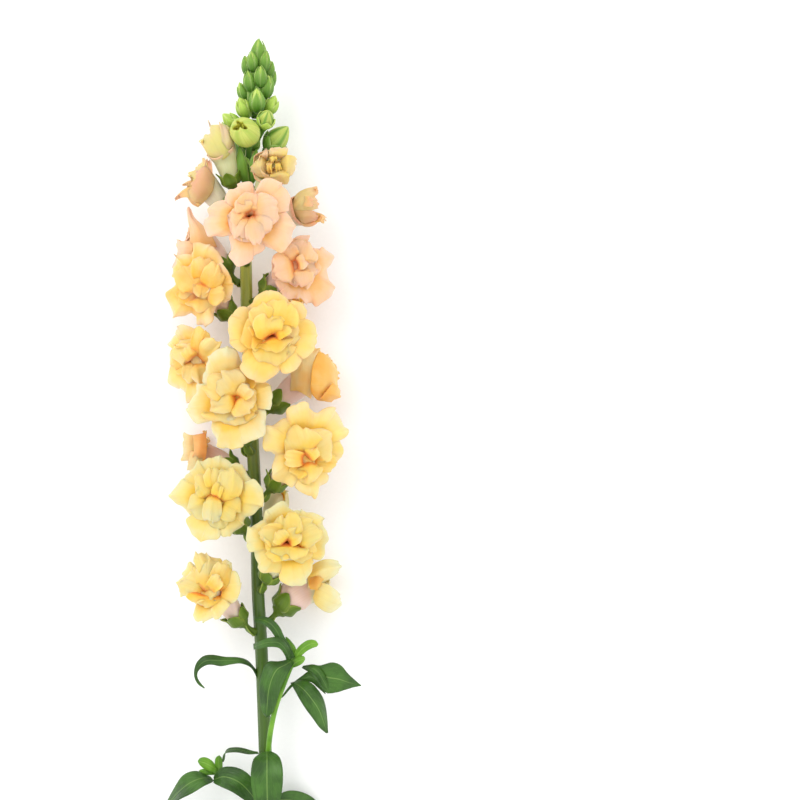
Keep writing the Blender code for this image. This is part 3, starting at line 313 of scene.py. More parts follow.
SHOOTS = {
    "side_shoot_right": (
        [(268, 756, 24), (270, 735, 29), (275, 710, 34), (284, 684, 35), (293, 662, 31)],
        [([(293, 662, 31), (300, 652, 33), (309, 645, 33), (317, 643, 31)], 4.4), ([(293, 662, 31), (299, 660, 35), (304, 657, 36)], 3.6), ([(293, 662, 31), (289, 650, 28), (286, 638, 25)], 3.4)],
    ),
    "side_shoot_left": (
        [(262, 800, 10), (248, 796, 9), (232, 788, 9), (219, 778, 9), (214, 770, 11)],
        [([(214, 770, 11), (208, 765, 15), (200, 759, 16)], 4.2), ([(214, 770, 11), (217, 764, 16), (220, 757, 18)], 3.4), ([(214, 770, 11), (206, 770, 12), (199, 773, 10)], 3.2)],
    ),
}

TIP = [
    (258.5, 54, 27.0, (0.02, 1.0, 0.05), 15.0, 8.6),
    (252.5, 62, 30.5, (-0.10, 1.0, 0.20), 10.5, 5.6),
    (264.5, 62, 29.5, (0.15, 1.0, 0.10), 11.0, 5.6),
    (257.0, 66, 23.5, (0.0, 1.0, -0.25), 10.0, 5.6),
    (246.5, 66, 27.0, (-0.10, 1.0, 0.0), 10.0, 4.8),
    (269.5, 70, 26.0, (0.18, 1.0, -0.05), 9.5, 5.0),
    (260.5, 77, 32.0, (0.02, 1.0, 0.22), 11.0, 6.4),
    (249.5, 82, 30.0, (-0.18, 1.0, 0.20), 11.0, 6.2),
    (254.5, 80, 20.0, (-0.05, 1.0, -0.35), 10.5, 6.0),
    (267.0, 87, 29.0, (0.15, 1.0, 0.15), 12.0, 6.6),
    (271.0, 80, 24.0, (0.30, 1.0, -0.1), 9.5, 5.0),
    (243.0, 92, 26.0, (-0.38, 1.0, 0.0), 10.5, 6.0),
    (257.0, 101, 34.0, (0.0, 1.0, 0.38), 13.0, 8.2),
    (243.5, 108, 29.5, (-0.40, 1.0, 0.25), 11.5, 8.0),
    (271.0, 105, 27.5, (0.48, 1.0, 0.10), 10.5, 7.6),
    (261.0, 97, 17.5, (0.12, 1.0, -0.45), 11.5, 7.2),
    (247.0, 104, 18.5, (-0.25, 1.0, -0.45), 11.0, 7.0),
]

# Petal palettes: deep throat (the throat's own orange, made deeper as painted shade for the crevices between
# overlapping petals), heart, middle, rim, outside of the tube
PALETTES = {
    # the tube colours of the pink, blush, amber and orange palettes are set paler than the tubes' own colour, as
    # painted light against the shade of the flowers above them
    "pink": ("#F79448", "#FBB878", "#FBC4A0", "#FCC5AE", "#F6CEC0"),
    "blush": ("#EE9E48", "#F2C060", "#EFD692", "#E2DAAE", "#F6CDBE"),
    "amber": ("#F6A05C", "#F8B070", "#F0C284", "#E4CA94", "#F4C8B8"),
    "gold_pink": ("#F4861E", "#FCB244", "#FCC876", "#FCCFA4", "#F0CAB2"),
    "gold": ("#F48418", "#FCB83E", "#FCCC6E", "#FACD92", "#F2D0AC"),
    "gold_pale": ("#F48A24", "#FCC456", "#FAD284", "#F8D49E", "#F2D0AC"),
    "honey": ("#F48A24", "#FCBE58", "#FCD284", "#FCD8AC", "#F2CEB2"),
    # the orange rim is paler than the lobe's own colour, painted light for flower 8's shaded left lobe
    "orange": ("#F88A2A", "#FDB254", "#FDC276", "#FEDEA8", "#FAD4C8"),
    "cream": ("#F48A24", "#F9BE50", "#EECA86", "#E2D6AC", "#EDE0BA"),
    "lemon": ("#F49028", "#F8C450", "#E8CC80", "#DAD0A0", "#EEE2B4"),
    "lemon_gold": ("#F48A22", "#F6BC50", "#F0CF84", "#DDD2A0", "#F4D2C2"),
    "tan": ("#D8B84E", "#E2CE78", "#E2C88A", "#EBC09A", "#DADCA6"),
    "tan_pink": ("#DCA84E", "#EAC684", "#E8AE80", "#EBAA88", "#E6DCBC"),
    "tan_gold": ("#E8BC3C", "#F0CC62", "#E9C486", "#EDB994", "#DEDDA8"),
}


def linear(code):
    rgb = [int(code[i : i + 2], 16) / 255 for i in (1, 3, 5)]
    return tuple(0.91 * (c / 12.92 if c <= 0.04045 else ((c + 0.055) / 1.055) ** 2.4) for c in rgb) + (1.0,)


def spot(x, y, z_mm):
    z = z_mm / 1000
    k = (EYE - (z - AXIS_Z)) / EYE
    return np.array(((x - 400) * UNIT * k, (400 - y) * UNIT * k, z)) + SHIFT


def spots(x, y, z_mm):
    z = z_mm / 1000
    k = (EYE - (z - AXIS_Z)) / EYE
    return np.stack([(x - 400) * UNIT * k, (400 - y) * UNIT * k, z], axis=-1) + SHIFT


def catmull(points, t):
    n = len(points) - 1
    s = min(max(t, 0.0), 1.0) * n
    i = min(int(s), n - 1)
    f = s - i
    p1, p2 = points[i], points[i + 1]
    p0 = points[i - 1] if i > 0 else [2 * a - b for a, b in zip(p1, p2)]
    p3 = points[i + 2] if i + 2 <= n else [2 * b - a for a, b in zip(p1, p2)]
    return [
        0.5 * (2 * b + (c - a) * f + (2 * a - 5 * b + 4 * c - d) * f * f + (3 * b - a - 3 * c + d) * f**3)
        for a, b, c, d in zip(p0, p1, p2, p3)
    ]


def unit(v):
    v = np.asarray(v, float)
    return v / (np.linalg.norm(v) + 1e-12)


def stem_at(y):
    n = len(STEM) - 1
    for i in range(n):
        if STEM[i][1] <= y <= STEM[i + 1][1] or i == n - 1:
            lo, hi = i / n, (i + 1) / n
            for _ in range(30):
                mid = (lo + hi) / 2
                if catmull(STEM, mid)[1] < y:
                    lo = mid
                else:
                    hi = mid
            x, yy, z, r = catmull(STEM, lo)
            xa, ya, za, _ = catmull(STEM, max(lo - 0.01, 0))
            return spot(x, yy, z), unit(spot(xa, ya, za) - spot(x, yy, z)), r / 1000


def square(way, up=(0, 1, 0)):
    """Two directions square to way, the second towards up."""
    way = unit(way)
    up = np.asarray(up, float)
    if abs(way @ up) > 0.97:
        up = np.array((0.0, 0.0, 1.0))
    side = unit(np.cross(up, way))
    return side, unit(np.cross(way, side))


def smooth(x, lo=0.0, hi=1.0):
    t = np.clip((np.asarray(x, float) - lo) / (hi - lo), 0, 1)
    return t * t * (3 - 2 * t)


# ------------------------------------------------------------------ mesh gathering
class Sheets:
    """Gathers grids of points into one mesh, with how far along (pv), across (pu) and which petal (pr) at each point."""

    def __init__(self):
        self.points, self.faces, self.marks, self.mats, self.count = [], [], [], [], 0

    def grid(self, p, pv, pu, pr, mat=0, around=False, flip=False):
        rows, cols = p.shape[:2]
        index = np.arange(rows * cols).reshape(rows, cols) + self.count
        if around:
            index = np.concatenate([index, index[:, :1]], axis=1)
        quads = np.stack([index[:-1, :-1], index[:-1, 1:], index[1:, 1:], index[1:, :-1]], axis=-1).reshape(-1, 4)
        if flip:
            quads = quads[:, ::-1]
        self.points.append(p.reshape(-1, 3))
        self.faces.append(quads)
        self.mats.append(np.full(len(quads), mat))
        marks = np.zeros((rows * cols, 3))
        marks[:, 0] = np.broadcast_to(pv, (rows, cols)).reshape(-1)
        marks[:, 1] = np.broadcast_to(pu, (rows, cols)).reshape(-1)
        marks[:, 2] = pr
        self.marks.append(marks)
        self.count += rows * cols

    def make(self, name, mats, thick=None, node=None):
        pts = np.concatenate(self.points)
        faces = np.concatenate(self.faces)
        marks = np.concatenate(self.marks)
        mesh = bpy.data.meshes.new(name)
        mesh.vertices.add(len(pts))
        mesh.vertices.foreach_set("co", pts.astype(np.float32).reshape(-1))
        mesh.loops.add(len(faces) * 4)
        mesh.loops.foreach_set("vertex_index", faces.astype(np.int32).reshape(-1))
        mesh.polygons.add(len(faces))
        mesh.polygons.foreach_set("loop_start", np.arange(0, len(faces) * 4, 4, dtype=np.int32))
        mesh.polygons.foreach_set("material_index", np.concatenate(self.mats).astype(np.int32))
        mesh.update(calc_edges=True)
        mesh.validate()
        for k, mark in enumerate(("pv", "pu", "pr")):
            layer = mesh.attributes.new(mark, "FLOAT", "POINT")
            layer.data.foreach_set("value", marks[:, k].astype(np.float32))
        for m in mats:
            mesh.materials.append(m)
        mesh.shade_smooth()
        obj = bpy.data.objects.new(name, mesh)
        bpy.context.scene.collection.objects.link(obj)
        if thick:
            solid = obj.modifiers.new("thickness", "SOLIDIFY")
            solid.thickness = thick
            solid.offset = 0.0
            solid.use_even_offset = False
        if node:
            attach(obj, "root")
            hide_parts(node)
        return obj


# ------------------------------------------------------------------ materials
def node(tree, kind, **inputs):
    n = tree.nodes.new(kind)
    for key, value in inputs.items():
        n.inputs[key.replace("_", " ")].default_value = value
    return n


def start(name, rough, specular=0.3, subsurface=0.0, sheen=0.0):
    m = bpy.data.materials.new(name)
    m.use_nodes = True
    tree = m.node_tree
    bsdf = tree.nodes["Principled BSDF"]
    bsdf.inputs["Roughness"].default_value = rough
    bsdf.inputs["Specular IOR Level"].default_value = specular
    if subsurface:
        bsdf.inputs["Subsurface Weight"].default_value = subsurface
        bsdf.inputs["Subsurface Radius"].default_value = (1.0, 0.55, 0.25)
        bsdf.inputs["Subsurface Scale"].default_value = 0.003
    if sheen:
        bsdf.inputs["Sheen Weight"].default_value = sheen
        bsdf.inputs["Sheen Roughness"].default_value = 0.5
    return m, tree, bsdf


def mark(tree, name):
    n = tree.nodes.new("ShaderNodeAttribute")
    n.attribute_type = "GEOMETRY"
    n.attribute_name = name
    return n.outputs["Fac"]


def maths(tree, op, a, b=None, clamp=False):
    n = tree.nodes.new("ShaderNodeMath")
    n.operation = op
    n.use_clamp = clamp
    for i, v in enumerate((a, b)):
        if v is None:
            continue
        if isinstance(v, (int, float)):
            n.inputs[i].default_value = v
        else:
            tree.links.new(v, n.inputs[i])
    return n.outputs[0]


def ramp(tree, fac, stops):
    n = tree.nodes.new("ShaderNodeValToRGB")
    n.color_ramp.interpolation = "EASE"
    while len(n.color_ramp.elements) < len(stops):
        n.color_ramp.elements.new(0.5)
    for e, (at, colour) in zip(n.color_ramp.elements, stops):
        e.position = at
        e.color = colour if not isinstance(colour, str) else linear(colour)
    tree.links.new(fac, n.inputs[0])
    return n.outputs[0]


def mix(tree, fac, a, b, kind="MIX"):
    n = tree.nodes.new("ShaderNodeMix")
    n.data_type = "RGBA"
    n.blend_type = kind
    for socket, v in ((n.inputs[0], fac), (n.inputs[6], a), (n.inputs[7], b)):
        if isinstance(v, (int, float)):
            socket.default_value = v
        elif isinstance(v, str):
            socket.default_value = linear(v)
        elif isinstance(v, tuple):
            socket.default_value = v
        else:
            tree.links.new(v, socket)
    return n.outputs[2]


def noise(tree, scale, detail=3.0, vector=None, rough=0.5):
    n = tree.nodes.new("ShaderNodeTexNoise")
    n.inputs["Scale"].default_value = scale
    n.inputs["Detail"].default_value = detail
    n.inputs["Roughness"].default_value = rough
    if vector is None:
        vector = tree.nodes.new("ShaderNodeTexCoord").outputs["Object"]
    tree.links.new(vector, n.inputs["Vector"])
    return n.outputs["Fac"]


def along(tree, fu, fv, fr=7.0):
    """Vector of the petal's own coordinates, stretched by fu across and fv along."""
    n = tree.nodes.new("ShaderNodeCombineXYZ")
    tree.links.new(maths(tree, "MULTIPLY", mark(tree, "pu"), fu), n.inputs[0])
    tree.links.new(maths(tree, "MULTIPLY", mark(tree, "pv"), fv), n.inputs[1])
    tree.links.new(maths(tree, "MULTIPLY", mark(tree, "pr"), fr), n.inputs[2])
    return n.outputs[0]


def bump(tree, bsdf, height, strength, distance):
    n = tree.nodes.new("ShaderNodeBump")
    n.inputs["Strength"].default_value = strength
    n.inputs["Distance"].default_value = distance
    tree.links.new(height, n.inputs["Height"])
    tree.links.new(n.outputs[0], bsdf.inputs["Normal"])


def petal_material(name, palette):
    deep, heart, middle, rim, _ = PALETTES[palette]
    m, tree, bsdf = start(name, 0.55, 0.25, subsurface=0.5, sheen=0.12)
    wander = maths(tree, "MULTIPLY", maths(tree, "SUBTRACT", noise(tree, 140.0, 3.0), 0.5), 0.35)
    where = maths(tree, "ADD", mark(tree, "pv"), wander, clamp=True)
    # the deep stop at the petal base is partly the throat's own orange and partly painted shade: the glowing orange of
    # the crevices where petals overlap
    colour = ramp(tree, where, [(0.0, deep), (0.19, deep), (0.35, heart), (0.66, middle), (0.98, rim)])
    # soft golden and rosy patches over several millimetres
    patch = noise(tree, 75.0, 2.0, None, 0.45)
    colour = mix(tree, maths(tree, "MULTIPLY", maths(tree, "SUBTRACT", patch, 0.50, clamp=True), 2.6, clamp=True), colour, heart)
    colour = mix(tree, maths(tree, "MULTIPLY", maths(tree, "SUBTRACT", 0.44, patch, clamp=True), 2.2, clamp=True), colour, rim)
    # each petal a little paler or deeper than the next
    tint = ramp(tree, mark(tree, "pr"), [(0.0, (0.93, 0.86, 0.80, 1)), (0.5, (1, 1, 1, 1)), (1.0, (1.0, 1.0, 1.0, 1))])
    colour = mix(tree, 0.45, colour, tint, "MULTIPLY")
    # veins fanning from the base to the rim
    veins = noise(tree, 1.0, 4.0, along(tree, 9.0, 1.3), 0.6)
    shade = ramp(tree, veins, [(0.35, (0.90, 0.84, 0.76, 1)), (0.52, (1, 1, 1, 1)), (1.0, (1, 1, 1, 1))])
    colour = mix(tree, 0.25, colour, shade, "MULTIPLY")
    tree.links.new(colour, bsdf.inputs["Base Color"])
    rough = ramp(tree, noise(tree, 420.0, 2.0), [(0.3, (0.46, 0.46, 0.46, 1)), (0.7, (0.64, 0.64, 0.64, 1))])
    tree.links.new(rough, bsdf.inputs["Roughness"])
    height = maths(tree, "ADD", maths(tree, "MULTIPLY", veins, 1.0), maths(tree, "MULTIPLY", noise(tree, 900.0, 2.0), 0.35))
    bump(tree, bsdf, height, 0.16, 0.0004)
    return m


def tube_material(name, palette):
    deep, heart, middle, rim, tube = PALETTES[palette]
    m, tree, bsdf = start(name, 0.5, 0.3, subsurface=0.3, sheen=0.1)
    # for the pink, blush, amber and orange palettes the tube colour is partly painted light: paler to make up for the
    # shade the tubes lie in
    colour = ramp(tree, mark(tree, "pv"), [(0.0, "#E3E0B4"), (0.35, tube), (0.8, tube), (1.0, rim)])
    streaks = noise(tree, 1.0, 4.0, along(tree, 11.0, 1.5), 0.6)
    colour = mix(tree, 0.35, colour, ramp(tree, streaks, [(0.35, (0.88, 0.80, 0.74, 1)), (0.6, (1, 1, 1, 1))]), "MULTIPLY")
    tree.links.new(colour, bsdf.inputs["Base Color"])
    bump(tree, bsdf, streaks, 0.18, 0.0004)
    return m


def green_material(name, base, tip, edge, rough=0.45, glow=0.12, vein=0.7):
    """Sepals and bud scales: pv runs to the tip, pu 0 at the middle and 1 at the edges."""
    m, tree, bsdf = start(name, rough, 0.28, subsurface=glow)
    bsdf.inputs["Subsurface Radius"].default_value = (0.45, 1.0, 0.15)
    wander = maths(tree, "MULTIPLY", maths(tree, "SUBTRACT", noise(tree, 260.0, 3.0), 0.5), 0.4)
    colour = ramp(tree, maths(tree, "ADD", mark(tree, "pv"), wander, clamp=True), [(0.0, base), (0.9, tip)])
    margin = maths(tree, "POWER", maths(tree, "ABSOLUTE", mark(tree, "pu")), 5.0, clamp=True)
    colour = mix(tree, maths(tree, "MULTIPLY", margin, 0.9), colour, edge)
    veins = noise(tree, 1.0, 3.0, along(tree, 8.0, 1.0), 0.5)
    colour = mix(tree, vein, colour, ramp(tree, veins, [(0.35, (0.72, 0.78, 0.62, 1)), (0.6, (1, 1, 1, 1))]), "MULTIPLY")
    tree.links.new(colour, bsdf.inputs["Base Color"])
    bump(tree, bsdf, maths(tree, "ADD", veins, maths(tree, "MULTIPLY", noise(tree, 1400.0, 2.0), 0.4)), 0.4, 0.0003)
    return m


def leaf_material(name, dark, light, rib):
    """Blade: pv along, pu across from -1 to 1."""
    m, tree, bsdf = start(name, 0.4, 0.32)
    blotch = noise(tree, 90.0, 4.0)
    colour = mix(tree, ramp(tree, blotch, [(0.35, (0, 0, 0, 1)), (0.7, (1, 1, 1, 1))]), dark, light)
    across = maths(tree, "ABSOLUTE", mark(tree, "pu"))
    # fine veins run the length of the blade, a few faint ones rise from the midrib
    grain = noise(tree, 1.0, 3.0, along(tree, 7.0, 1.1), 0.55)
    colour = mix(tree, 0.8, colour, ramp(tree, grain, [(0.34, (0.74, 0.78, 0.66, 1)), (0.55, (1, 1, 1, 1)), (0.75, (1.0, 1.0, 0.92, 1))]), "MULTIPLY")
    phase = maths(tree, "SUBTRACT", maths(tree, "MULTIPLY", mark(tree, "pv"), 8.0), maths(tree, "MULTIPLY", across, 2.9))
    phase = maths(tree, "ADD", phase, maths(tree, "MULTIPLY", noise(tree, 160.0, 2.0), 0.5))
    wave = maths(tree, "ABSOLUTE", maths(tree, "SINE", maths(tree, "MULTIPLY", phase, math.pi)))
    vein = maths(tree, "SUBTRACT", 1.0, maths(tree, "MULTIPLY", wave, 6.0), clamp=True)
    midrib = maths(tree, "SUBTRACT", 1.0, maths(tree, "MULTIPLY", across, 15.0), clamp=True)
    colour = mix(tree, maths(tree, "MULTIPLY", vein, 0.10), colour, rib)
    colour = mix(tree, maths(tree, "MULTIPLY", midrib, 0.6), colour, rib)
    cells = noise(tree, 700.0, 3.0)
    colour = mix(tree, 0.5, colour, ramp(tree, cells, [(0.3, (0.84, 0.87, 0.78, 1)), (0.6, (1, 1, 1, 1))]), "MULTIPLY")
    tree.links.new(colour, bsdf.inputs["Base Color"])
    rough = ramp(tree, cells, [(0.3, (0.30, 0.30, 0.30, 1)), (0.7, (0.44, 0.44, 0.44, 1))])
    tree.links.new(rough, bsdf.inputs["Roughness"])
    height = maths(tree, "SUBTRACT", maths(tree, "ADD", maths(tree, "MULTIPLY", cells, 0.3), maths(tree, "MULTIPLY", grain, 0.9)), maths(tree, "MULTIPLY", vein, 0.3))
    bump(tree, bsdf, height, 0.5, 0.0004)
    return m


def stem_material(name):
    """pv from the tip to the cut, pu around; pr above 0.5 marks the cut face, with pv running out from its middle."""
    m, tree, bsdf = start(name, 0.30, 0.42)
    # the pale band near the top (pv 0.08 to 0.22) is the stem's own lighter olive, made brighter still as painted light
    # against the shade of the flowers around it
    skin = ramp(tree, mark(tree, "pv"), [(0.0, "#86A83E"), (0.08, "#BCC458"), (0.22, "#BEC65A"), (0.34, "#8EA040"), (0.46, "#486418"), (0.62, "#46661A"), (1.0, "#5A7C2A")])
    streak = noise(tree, 1.0, 4.0, along(tree, 26.0, 14.0), 0.6)
    skin = mix(tree, 0.75, skin, ramp(tree, streak, [(0.35, (0.66, 0.72, 0.52, 1)), (0.62, (1.0, 1.0, 1.0, 1)), (0.8, (1.0, 1.0, 0.9, 1))]), "MULTIPLY")
    pith = ramp(tree, mark(tree, "pv"), [(0.0, "#DCE3B0"), (0.5, "#C6D492"), (0.72, "#93AE58"), (0.85, "#C9D69A"), (1.0, "#6F8F38")])
    colour = mix(tree, maths(tree, "GREATER_THAN", mark(tree, "pr"), 0.5), skin, pith)
    tree.links.new(colour, bsdf.inputs["Base Color"])
    bump(tree, bsdf, maths(tree, "ADD", streak, maths(tree, "MULTIPLY", noise(tree, 1300.0, 2.0), 0.4)), 0.4, 0.0005)
    return m


# ------------------------------------------------------------------ flower parts
class Route:
    """The curve that a flower's stalk and tube follow, from the stem to the throat, with directions that don't twist."""

    def __init__(self, entry):
        x, y, z, facing, _, y_stem = entry[:6]
        self.throat, self.facing = spot(x, y, z), unit(facing)
        on_axis, up, r = stem_at(y_stem)
        out = self.throat - on_axis
        out = unit(out - up * (out @ up))
        first = on_axis + out * (r + 0.0003 + 0.0012 * 0.65)
        leave = unit(out * 0.85 + up * 0.6)
        reach = np.linalg.norm(self.throat - first)
        a, b = first + leave * reach * 0.36, self.throat - self.facing * reach * 0.36
        t = np.linspace(0, 1, 81)[:, None]
        self.line = first * (1 - t) ** 3 + a * 3 * t * (1 - t) ** 2 + b * 3 * t * t * (1 - t) + self.throat * t**3
        self.run = np.concatenate([[0], np.cumsum(np.linalg.norm(np.diff(self.line, axis=0), axis=1))])
        self.length = self.run[-1]
        way = np.gradient(self.line, axis=0)
        self.way = way / np.linalg.norm(way, axis=1)[:, None]
        self.side, self.up = square(self.facing)
        sides = np.zeros_like(self.line)
        s = self.side
        for i in range(len(self.line) - 1, -1, -1):
            s = unit(s - self.way[i] * (s @ self.way[i]))
            sides[i] = s
        self.sides, self.ups = sides, np.cross(self.way, sides)
        self.out, self.first = out, first

    def ring(self, s, angle, r):
        """Points at distance s, angle and radius; s and angle and r are arrays of one shape."""
        s = np.asarray(s, float)
        beyond = np.maximum(s - self.length, 0)[..., None] * self.way[-1] + np.minimum(s, 0)[..., None] * self.way[0]
        pick = lambda table: np.stack([np.interp(s, self.run, table[:, k]) for k in range(3)], axis=-1)
        side, up = pick(self.sides), pick(self.ups)
        return pick(self.line) + beyond + (side * np.cos(angle)[..., None] + up * np.sin(angle)[..., None]) * np.asarray(r)[..., None]


def bend_profile(n, phis):
    """Unit-length curve whose angle from the axis follows phis at even steps: radial and axial run."""
    s = np.linspace(0, 1, n)
    at, val = zip(*phis)
    phi = np.radians(np.interp(s, at, val))
    for _ in range(3):
        phi[1:-1] = (phi[:-2] + 2 * phi[1:-1] + phi[2:]) / 4
    ds = 1 / (n - 1)
    rad = np.concatenate([[0], np.cumsum((np.sin(phi[1:]) + np.sin(phi[:-1])) / 2 * ds)])
    axi = np.concatenate([[0], np.cumsum((np.cos(phi[1:]) + np.cos(phi[:-1])) / 2 * ds)])
    return s, rad, axi, phi


def petal(sheets, route, rng, angle, half, length, r_in, z_in, phis, ruffle, cup=0.0, lean=0.0, nu=25, nv=17, pv0=0.0, pv1=1.0, fold=0.0, centre=(0, 0), floor=True, notch=0.10, tight=1.0, scale_w=None):
    """One petal: a fan of the given half angle around angle, leaving the throat at radius r_in and height z_in,
    bending outwards by phis, with waves that grow towards its rim."""
    s, rad, axi, phi = bend_profile(nv, phis)
    u = np.linspace(-1, 1, nu)
    U, S = np.meshgrid(u, s)
    # rim: rounded, with a shallow notch and small uneven scallops
    p = rng.uniform(0, 2 * np.pi, 8)
    rim = 1 - 0.16 * U**2 - 0.22 * U**6 - notch * np.exp(-((U / 0.16) ** 2)) * 0.6
    rim += 0.035 * np.sin(5.0 * U + p[0]) + 0.022 * np.sin(11.0 * U + p[1]) + 0.012 * np.sin(19.0 * U + p[2])
    reach = length * (1 + (rim - 1) * S**1.5)
    R, Z, PHI = rad[:, None] * reach, axi[:, None] * reach, np.broadcast_to(phi[:, None], U.shape)
    theta = np.radians(angle + U * half * (1 - 0.25 * S * 0))
    grow = S**1.7
    waves = np.sin(U * 2.2 * tight + p[3] + 0.6 * S) * 0.9 + np.sin(U * 5.2 * tight + p[4] - 1.2 * S) * 0.62 + np.sin(U * 9.7 * tight + p[5] + 1.5 * S) * 0.30 * S + np.sin(U * 17 * tight + p[6]) * 0.13 * S * S
    d = ruffle * grow * waves
    d += cup * (U**2) * S**1.2 * length * 0.5 + fold * np.abs(U) * S * length * 0.3
    d += lean * U * (0.3 + 0.7 * S)
    # broad dents
    d += ruffle * 0.35 * np.sin(S * 6.5 + p[7] + U * 1.5) * S
    swing = ruffle * 0.55 * S**2 * np.sin(U * 6.1 * tight + p[5]) + ruffle * 0.3 * S**2 * np.sin(U * 10.5 * tight + p[2])
    radius = r_in + R - np.cos(PHI) * d
    height = z_in + Z + np.sin(PHI) * d
    if scale_w is None:
        across = theta
        x, y = radius * np.cos(across) - swing * np.sin(across), radius * np.sin(across) + swing * np.cos(across)
    else:
        # a strap-like petal: straight sides instead of a fan
        w = scale_w * (np.sin(np.clip(S * 0.86 + 0.10, 0, 1) * np.pi) ** 0.6) * (1 - 0.0 * S)
        a = math.radians(angle)
        t = U * w + swing
        x, y = radius * math.cos(a) - t * math.sin(a), radius * math.sin(a) + t * math.cos(a)
    pts = route.throat + route.side * (x + centre[0])[..., None] + route.up * (y + centre[1])[..., None] + route.facing * height[..., None]
    if floor:
        pts[..., 2] = press(pts[..., 2])
    sheets.grid(pts, pv0 + (pv1 - pv0) * S, U, rng.uniform(0, 1))


def drape(sheets, place, look, rng, base, middle, tip, half, hollow=0.0, bank=0.0, pv0=0.08, pv1=0.78, ruffle=0.0012, nu=23, nv=19, notch=0.05, neck=0.45, tight=1.0):
    """A broad petal over a curved midline from base over middle to tip; place turns grid x, grid y and height into a
    point. half is its half width in grid steps, hollow cups it across (negative: domed), bank tips it sideways."""
    p = rng.uniform(0, 2 * np.pi, 10)
    U, S = np.meshgrid(np.linspace(-1, 1, nu), np.linspace(0, 1, nv))
    base, middle, tip = (np.asarray(v, float) for v in (base, middle, tip))
    half = half * 1.22
    ruffle = ruffle * min(1.0, 0.35 + 0.65 * half / 17)
    long = np.linalg.norm((tip - base)[:2]) + 0.8 * abs(middle[2] - base[2])
    # rim: rounded like a spoon, with a shallow notch and small uneven scallops
    drop = min(half / long, 0.62) * 0.82
    rim = 1 - drop * (1 - np.sqrt(np.maximum(1 - 0.97 * U**2, 0))) - notch * np.exp(-(((U - rng.uniform(-0.3, 0.3)) / 0.16) ** 2))
    rim += 0.030 * np.sin(4.1 * U + p[0]) + 0.020 * np.sin(8.7 * U + p[1]) + 0.012 * np.sin(15.0 * U + p[2])
    run = S * (1 + (rim - 1) * S**0.9)

    def midline(s):
        # rises steeply out of the throat, then spreads
        q = np.maximum(s, 0) ** 1.55
        a, b, c = 2 * (q - 0.5) * (q - 1), 4 * q * (1 - q), 2 * q * (q - 0.5)
        x, y = (a * base[i] + b * middle[i] + c * tip[i] for i in range(2))
        up = smooth(s, -0.05, 0.48)
        fall = smooth(s, 0.42, 1.25)
        return place(x, y, base[2] + (middle[2] * 1.05 - base[2]) * up + (tip[2] - middle[2] * 1.05) * fall)

    pts = midline(run)
    way = midline(run + 0.01) - midline(run - 0.01)
    way /= np.linalg.norm(way, axis=-1)[..., None]
    ends = midline(np.array([0.0, 1.0]))
    across = unit(np.cross(look, ends[1] - ends[0]))
    over = np.cross(way, across)
    over /= np.linalg.norm(over, axis=-1)[..., None]
    c, q = math.cos(math.radians(bank)), math.sin(math.radians(bank))
    across, over = across * c + over * q, over * c - across * q
    w = half * UNIT * (neck + (1 - neck) * np.sin(np.clip(S * 1.2, 0, 1) * np.pi / 2) ** 0.9)
    k = hollow * (1 - 0.25 * S)
    k = np.where(np.abs(k) < 0.02, 0.02, k)
    t, d = w * np.sin(k * U) / k, w * (1 - np.cos(k * U)) / k
    waves = 0.85 * np.sin(U * 2.3 * tight + p[3] + 0.8 * S) + 0.75 * np.sin(U * 5.2 * tight + p[4] - S) + 0.32 * S * np.sin(U * 9.5 * tight + p[5] + S) + 0.12 * S**2 * np.sin(U * 17 * tight + p[6])
    d = d + ruffle * S**1.4 * waves + ruffle * 0.45 * np.sin(S * 4.4 + p[7] + U * 1.3) * S
    t = t + ruffle * 0.6 * S**1.5 * np.sin(U * 5.6 * tight + p[5])
    # the rim rolls back a little
    d = d - 0.0009 * smooth(S, 0.80, 1.02) ** 2
    pts = pts + across * t[..., None] + over * d[..., None]
    pts[..., 2] = press(pts[..., 2])
    sheets.grid(pts, pv0 + (pv1 - pv0) * S, U, rng.uniform(0, 1))


def through(points, n):
    """A smooth run of n places through control points along the first axis."""
    p = np.asarray(points, float)
    last = len(p) - 1
    p = np.concatenate([2 * p[:1] - p[1:2], p, 2 * p[-1:] - p[-2:-1]])
    s = np.linspace(0, last, n)
    i = np.minimum(s.astype(int), last - 1)
    f = (s - i).reshape((-1,) + (1,) * (p.ndim - 1))
    a, b, c, d = p[i], p[i + 1], p[i + 2], p[i + 3]
    return 0.5 * (2 * b + (c - a) * f + (2 * a - 5 * b + 4 * c - d) * f**2 + (3 * b - a - 3 * c + d) * f**3)


